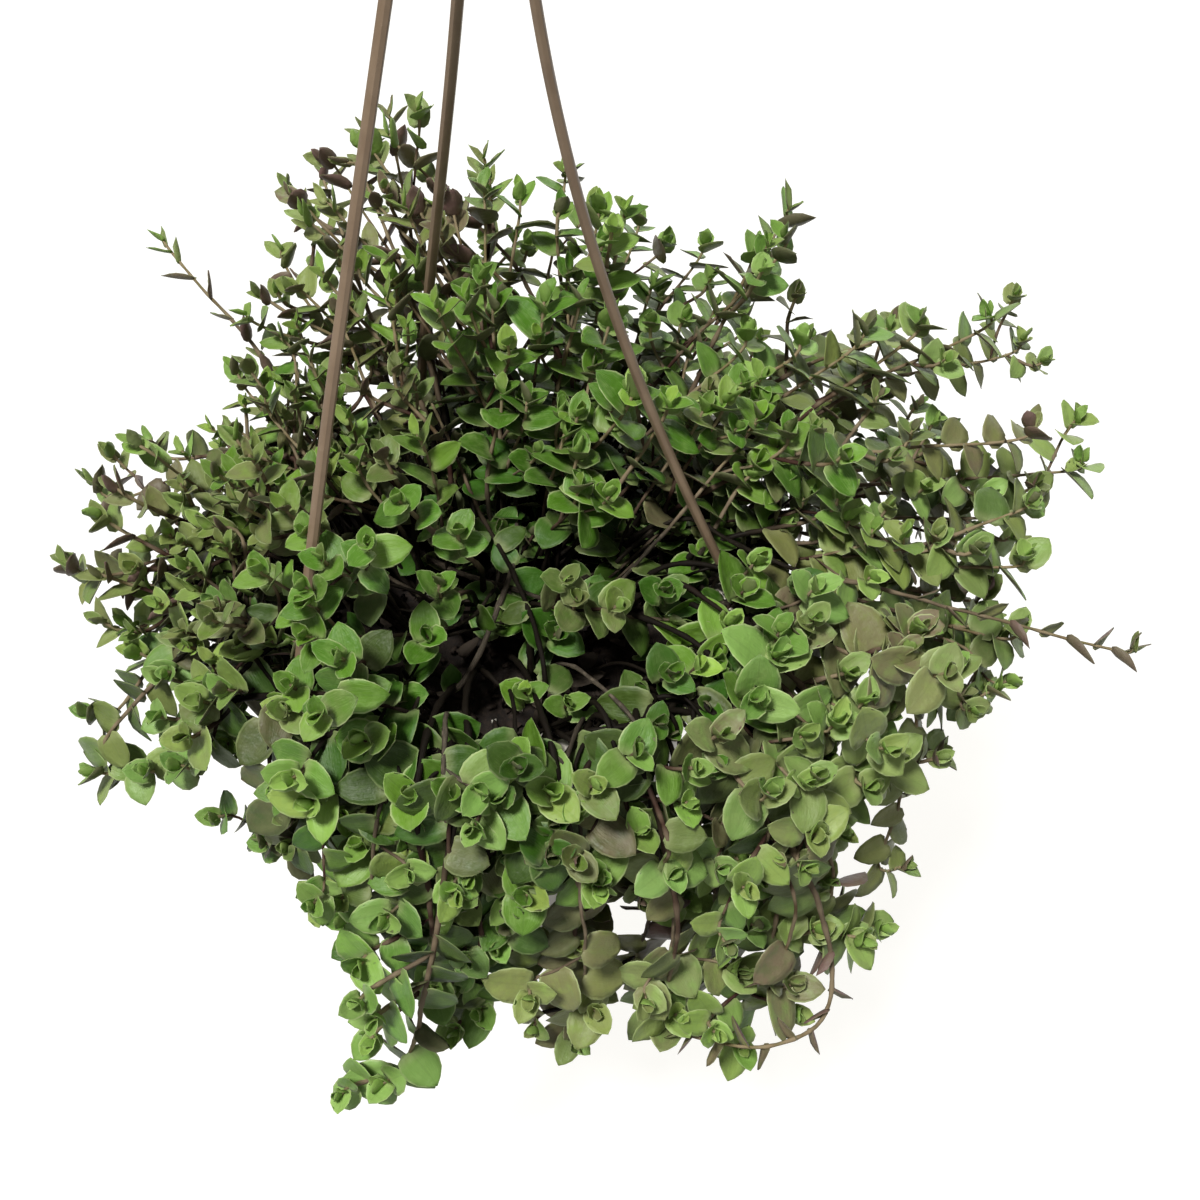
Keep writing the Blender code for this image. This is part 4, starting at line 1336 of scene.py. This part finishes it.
def build_soil(finish, litter, chance):
    """Rough soil in the pot, with bark crumbs, dead leaves and a few pale grains on it."""
    base = SOIL_LOW.z
    top = SOIL_HIGH.z - 5 * MM
    radius = (SOIL_HIGH.x - SOIL_LOW.x) / 2
    rings = [radius * math.sqrt(i / SOIL_RINGS) for i in range(SOIL_RINGS, 0, -1)]
    form = turned([(0, base), (SOIL_FOOT_R, base), *[(r, 0) for r in rings], (0, 0)], 90)
    for vert in form.verts:
        if vert.co.z == 0:
            spot = Vector((vert.co.x, vert.co.y, 0))
            edge = smooth_step(radius, radius - 6 * MM, spot.length)
            rough = noise.fractal(spot * 160, 0.6, 2.0, 5) * 2.2 * MM
            vert.co.z = top + SOIL_MOUND * (1 - spot.length / radius) + rough * edge
    bmesh.ops.translate(form, verts=form.verts, vec=AXIS)
    made = link("soil_bed", mesh_of(form, "soil_bed"), [finish])
    made.data.shade_smooth()
    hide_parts("soil")
    build_litter(litter, top, radius, chance)


def build_litter(finish, top, radius, chance):
    """What lies on the soil: box-like crumbs, a few of them pale, and dead leaves."""
    crumbs = Form()
    corners = np.array([(x, y, z) for z in (-1, 1) for y in (-1, 1) for x in (-1, 1)], float)
    quads = np.array([(0, 2, 3, 1), (4, 5, 7, 6), (0, 1, 5, 4), (1, 3, 7, 5), (3, 2, 6, 7), (2, 0, 4, 6)])
    for index in range(CRUMBS):
        spot = polar(chance.uniform(0, 360), (radius - 3 * MM) * math.sqrt(chance.random()), 0)
        pale = index % 9 == 0
        if pale:
            size = np.array([chance.uniform(0.5, 0.9)] * 3) * MM
        else:
            size = np.array([chance.uniform(*ends) for ends in CRUMB_SIZES]) * MM
        jitter = np.array([[chance.uniform(0.55, 1.1) for _ in range(3)] for _ in range(8)])
        turn = np.array(Matrix.Rotation(chance.uniform(0, 6.3), 3, "Z")
                        @ Matrix.Rotation(chance.gauss(0, 0.4), 3, "X"))
        high = top + SOIL_MOUND * (1 - spot.length / radius) + chance.uniform(0, 1.6) * MM
        points = (corners * jitter * size) @ turn.T + np.array((RIM.x + spot.x, RIM.y + spot.y, high))
        crumbs.add(points, quads, 0, sheath=1.0 if pale else 0.0)
    crumbs.make("soil_crumbs", [finish])
    dead = Form()
    for _ in range(DEAD_LEAVES):
        spot = polar(chance.uniform(0, 360), (radius - 8 * MM) * math.sqrt(chance.random()), 0)
        at = Vector((RIM.x + spot.x, RIM.y + spot.y, top + 5 * MM + chance.uniform(0, 2) * MM))
        way = polar(chance.uniform(0, 360), 1, chance.uniform(-0.1, 0.3)).normalized()
        add_leaf(dead, at, way, Vector((chance.gauss(0, 0.3), chance.gauss(0, 0.3), 1)),
                 chance.uniform(6, 10) * MM, chance.uniform(4, 7) * MM, chance.uniform(-0.9, 0.9),
                 chance.uniform(100, 420), 0.1, {"age": 1.0}, chance)
    dead.make("dead_leaves", [finish])


def hook_line():
    """The rod's middle line, from inside the hub round to the hook's end."""
    middle = Vector((0, 0, -HOOK_INNER_R))
    radius = HOOK_INNER_R + HOOK_WIRE_R
    points = [Vector((0, 0, HUB_TOP - 2 * MM)), Vector((0, 0, HUB_TOP + 8 * MM)),
              Vector((1.5 * MM, 0, middle.z - radius - 3 * MM))]
    for turn in range(-45, 201, 35):
        angle = math.radians(turn)
        points.append(middle + Vector((radius * math.cos(angle), 0, radius * math.sin(angle))))
    points.append(points[-1] + Vector((-1.5 * MM, 0, -2.5 * MM)))
    return smooth_line(points, 10)


def build_hook(finish):
    """The hook: a round bent rod with a rounded end, and a hub with a hole for each strand."""
    line = hook_line()
    sides = 20
    outlines = [circle(HOOK_WIRE_R, sides) for _ in line]
    foot_flare = 12
    for i in range(foot_flare):
        outlines[i] = circle(HOOK_WIRE_R * blend(1.3, 1.0, smooth_step(0, foot_flare, i)), sides)
    end = (line[-1] - line[-2]).normalized()
    for share in (0.4, 0.75, 0.95):
        line.append(line[-1] + end * HOOK_WIRE_R * 0.22)
        outlines.append(circle(HOOK_WIRE_R * math.sqrt(1 - share ** 2), sides))
    form = swept(line, Vector((0, 1, 0)), outlines)
    rod = link("hook_rod", mesh_of(form, "hook_rod"), [finish])
    soften(rod.data, 50)
    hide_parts("hook")
    bottom = HUB_TOP - HUB_THICK
    corners = [(0, bottom), (HUB_R, bottom), (HUB_R, HUB_TOP), (0, HUB_TOP)]
    form = turned(rounded(corners, 1.0 * MM), 64)
    hub = link("hook_hub", mesh_of(form, "hook_hub"), [finish])
    holes = [polar(shape[0], HUB_HOLE_RING_R, HUB_TOP - HUB_THICK / 2) for shape in STRANDS.values()]
    cut(hub, holes, STRAND_HOLE_R, 3 * HUB_THICK)
    soften(hub.data, 40)


# ---------------------------------------------------------------- stage

def build_stage():
    """A pale floor below the pot that shows white to the camera and keeps the soft shadow."""
    n = Nodes(bpy.data.materials.new("studio_floor"))
    seen = n.math("ADD", n.ray("Is Camera Ray"), n.ray("Is Glossy Ray"), clamp=True)
    n.put(n.shader.inputs["Base Color"], (0.15, 0.155, 0.170))
    n.shader.inputs["Roughness"].default_value = 0.9
    n.put(n.shader.inputs["Emission Color"], (1, 0.985, 0.94))
    n.put(n.shader.inputs["Emission Strength"], n.times(seen, 0.92))
    mesh = bpy.data.meshes.new("studio_floor")
    half = FLOOR_SIDE / 2
    low = cad_box[0][2] - FLOOR_DROP
    mesh.from_pydata([(-half, -half, low), (half, -half, low), (half, half, low), (-half, half, low)],
                     [], [(0, 1, 2, 3)])
    mesh.materials.append(n.owner)
    floor = add_object("studio_floor", mesh)


def build_light():
    """A soft key light, a weak fill from behind and a surround, brightest low down as over white."""
    world = bpy.data.worlds.new("studio")
    bpy.context.scene.world = world
    n = Nodes(world, "Background")
    height = n.node("SeparateXYZ", {0: n.node("TexCoord", out="Generated")}, "Z")
    fade = n.ramp(height, -0.3, 0.7, *WORLD_LOW_HIGH)
    seen = n.ray("Is Camera Ray")
    n.put(n.shader.inputs["Strength"], n.ramp(seen, 0.0, 1.0, fade, 1.0))
    n.put(n.shader.inputs["Color"], n.mix(seen, (1, 0.985, 0.92), (1, 0.995, 0.985)))
    for name, energy, softness, way in SUNS:
        sun = bpy.data.lights.new(name, "SUN")
        sun.energy = energy
        sun.angle = math.radians(softness)
        sun.color = (1.0, 0.985, 0.955)
        add_object(name, sun).rotation_euler = Vector(way).to_track_quat("-Z", "Y").to_euler()


def build_camera():
    camera = bpy.data.cameras.new("camera")
    camera.lens = CAMERA_LENS
    camera.sensor_width = 36
    camera.dof.use_dof = False
    holder = add_object("camera", camera)
    holder.location = RIM + CAMERA_FROM_RIM
    holder.rotation_euler = (math.radians(90 - CAMERA_PITCH), 0, 0)
    bpy.context.scene.camera = holder


def main():
    bpy.context.scene.view_settings.view_transform = "Standard"
    # Without this, noise_vector takes its place from the clock, and no two runs are the same.
    noise.seed_set(NOISE_SEED)
    chance = random.Random(SEED + 1)
    hanger = hanger_material()
    build_hook(hanger)
    lines = [build_strand(name, shape, hanger) for name, shape in STRANDS.items()]
    build_pot(pot_material())
    build_soil(soil_material(), litter_material(), chance)
    build_plant(lines, [leaf_material(), stem_material()])
    build_stage()
    build_light()
    build_camera()


main()
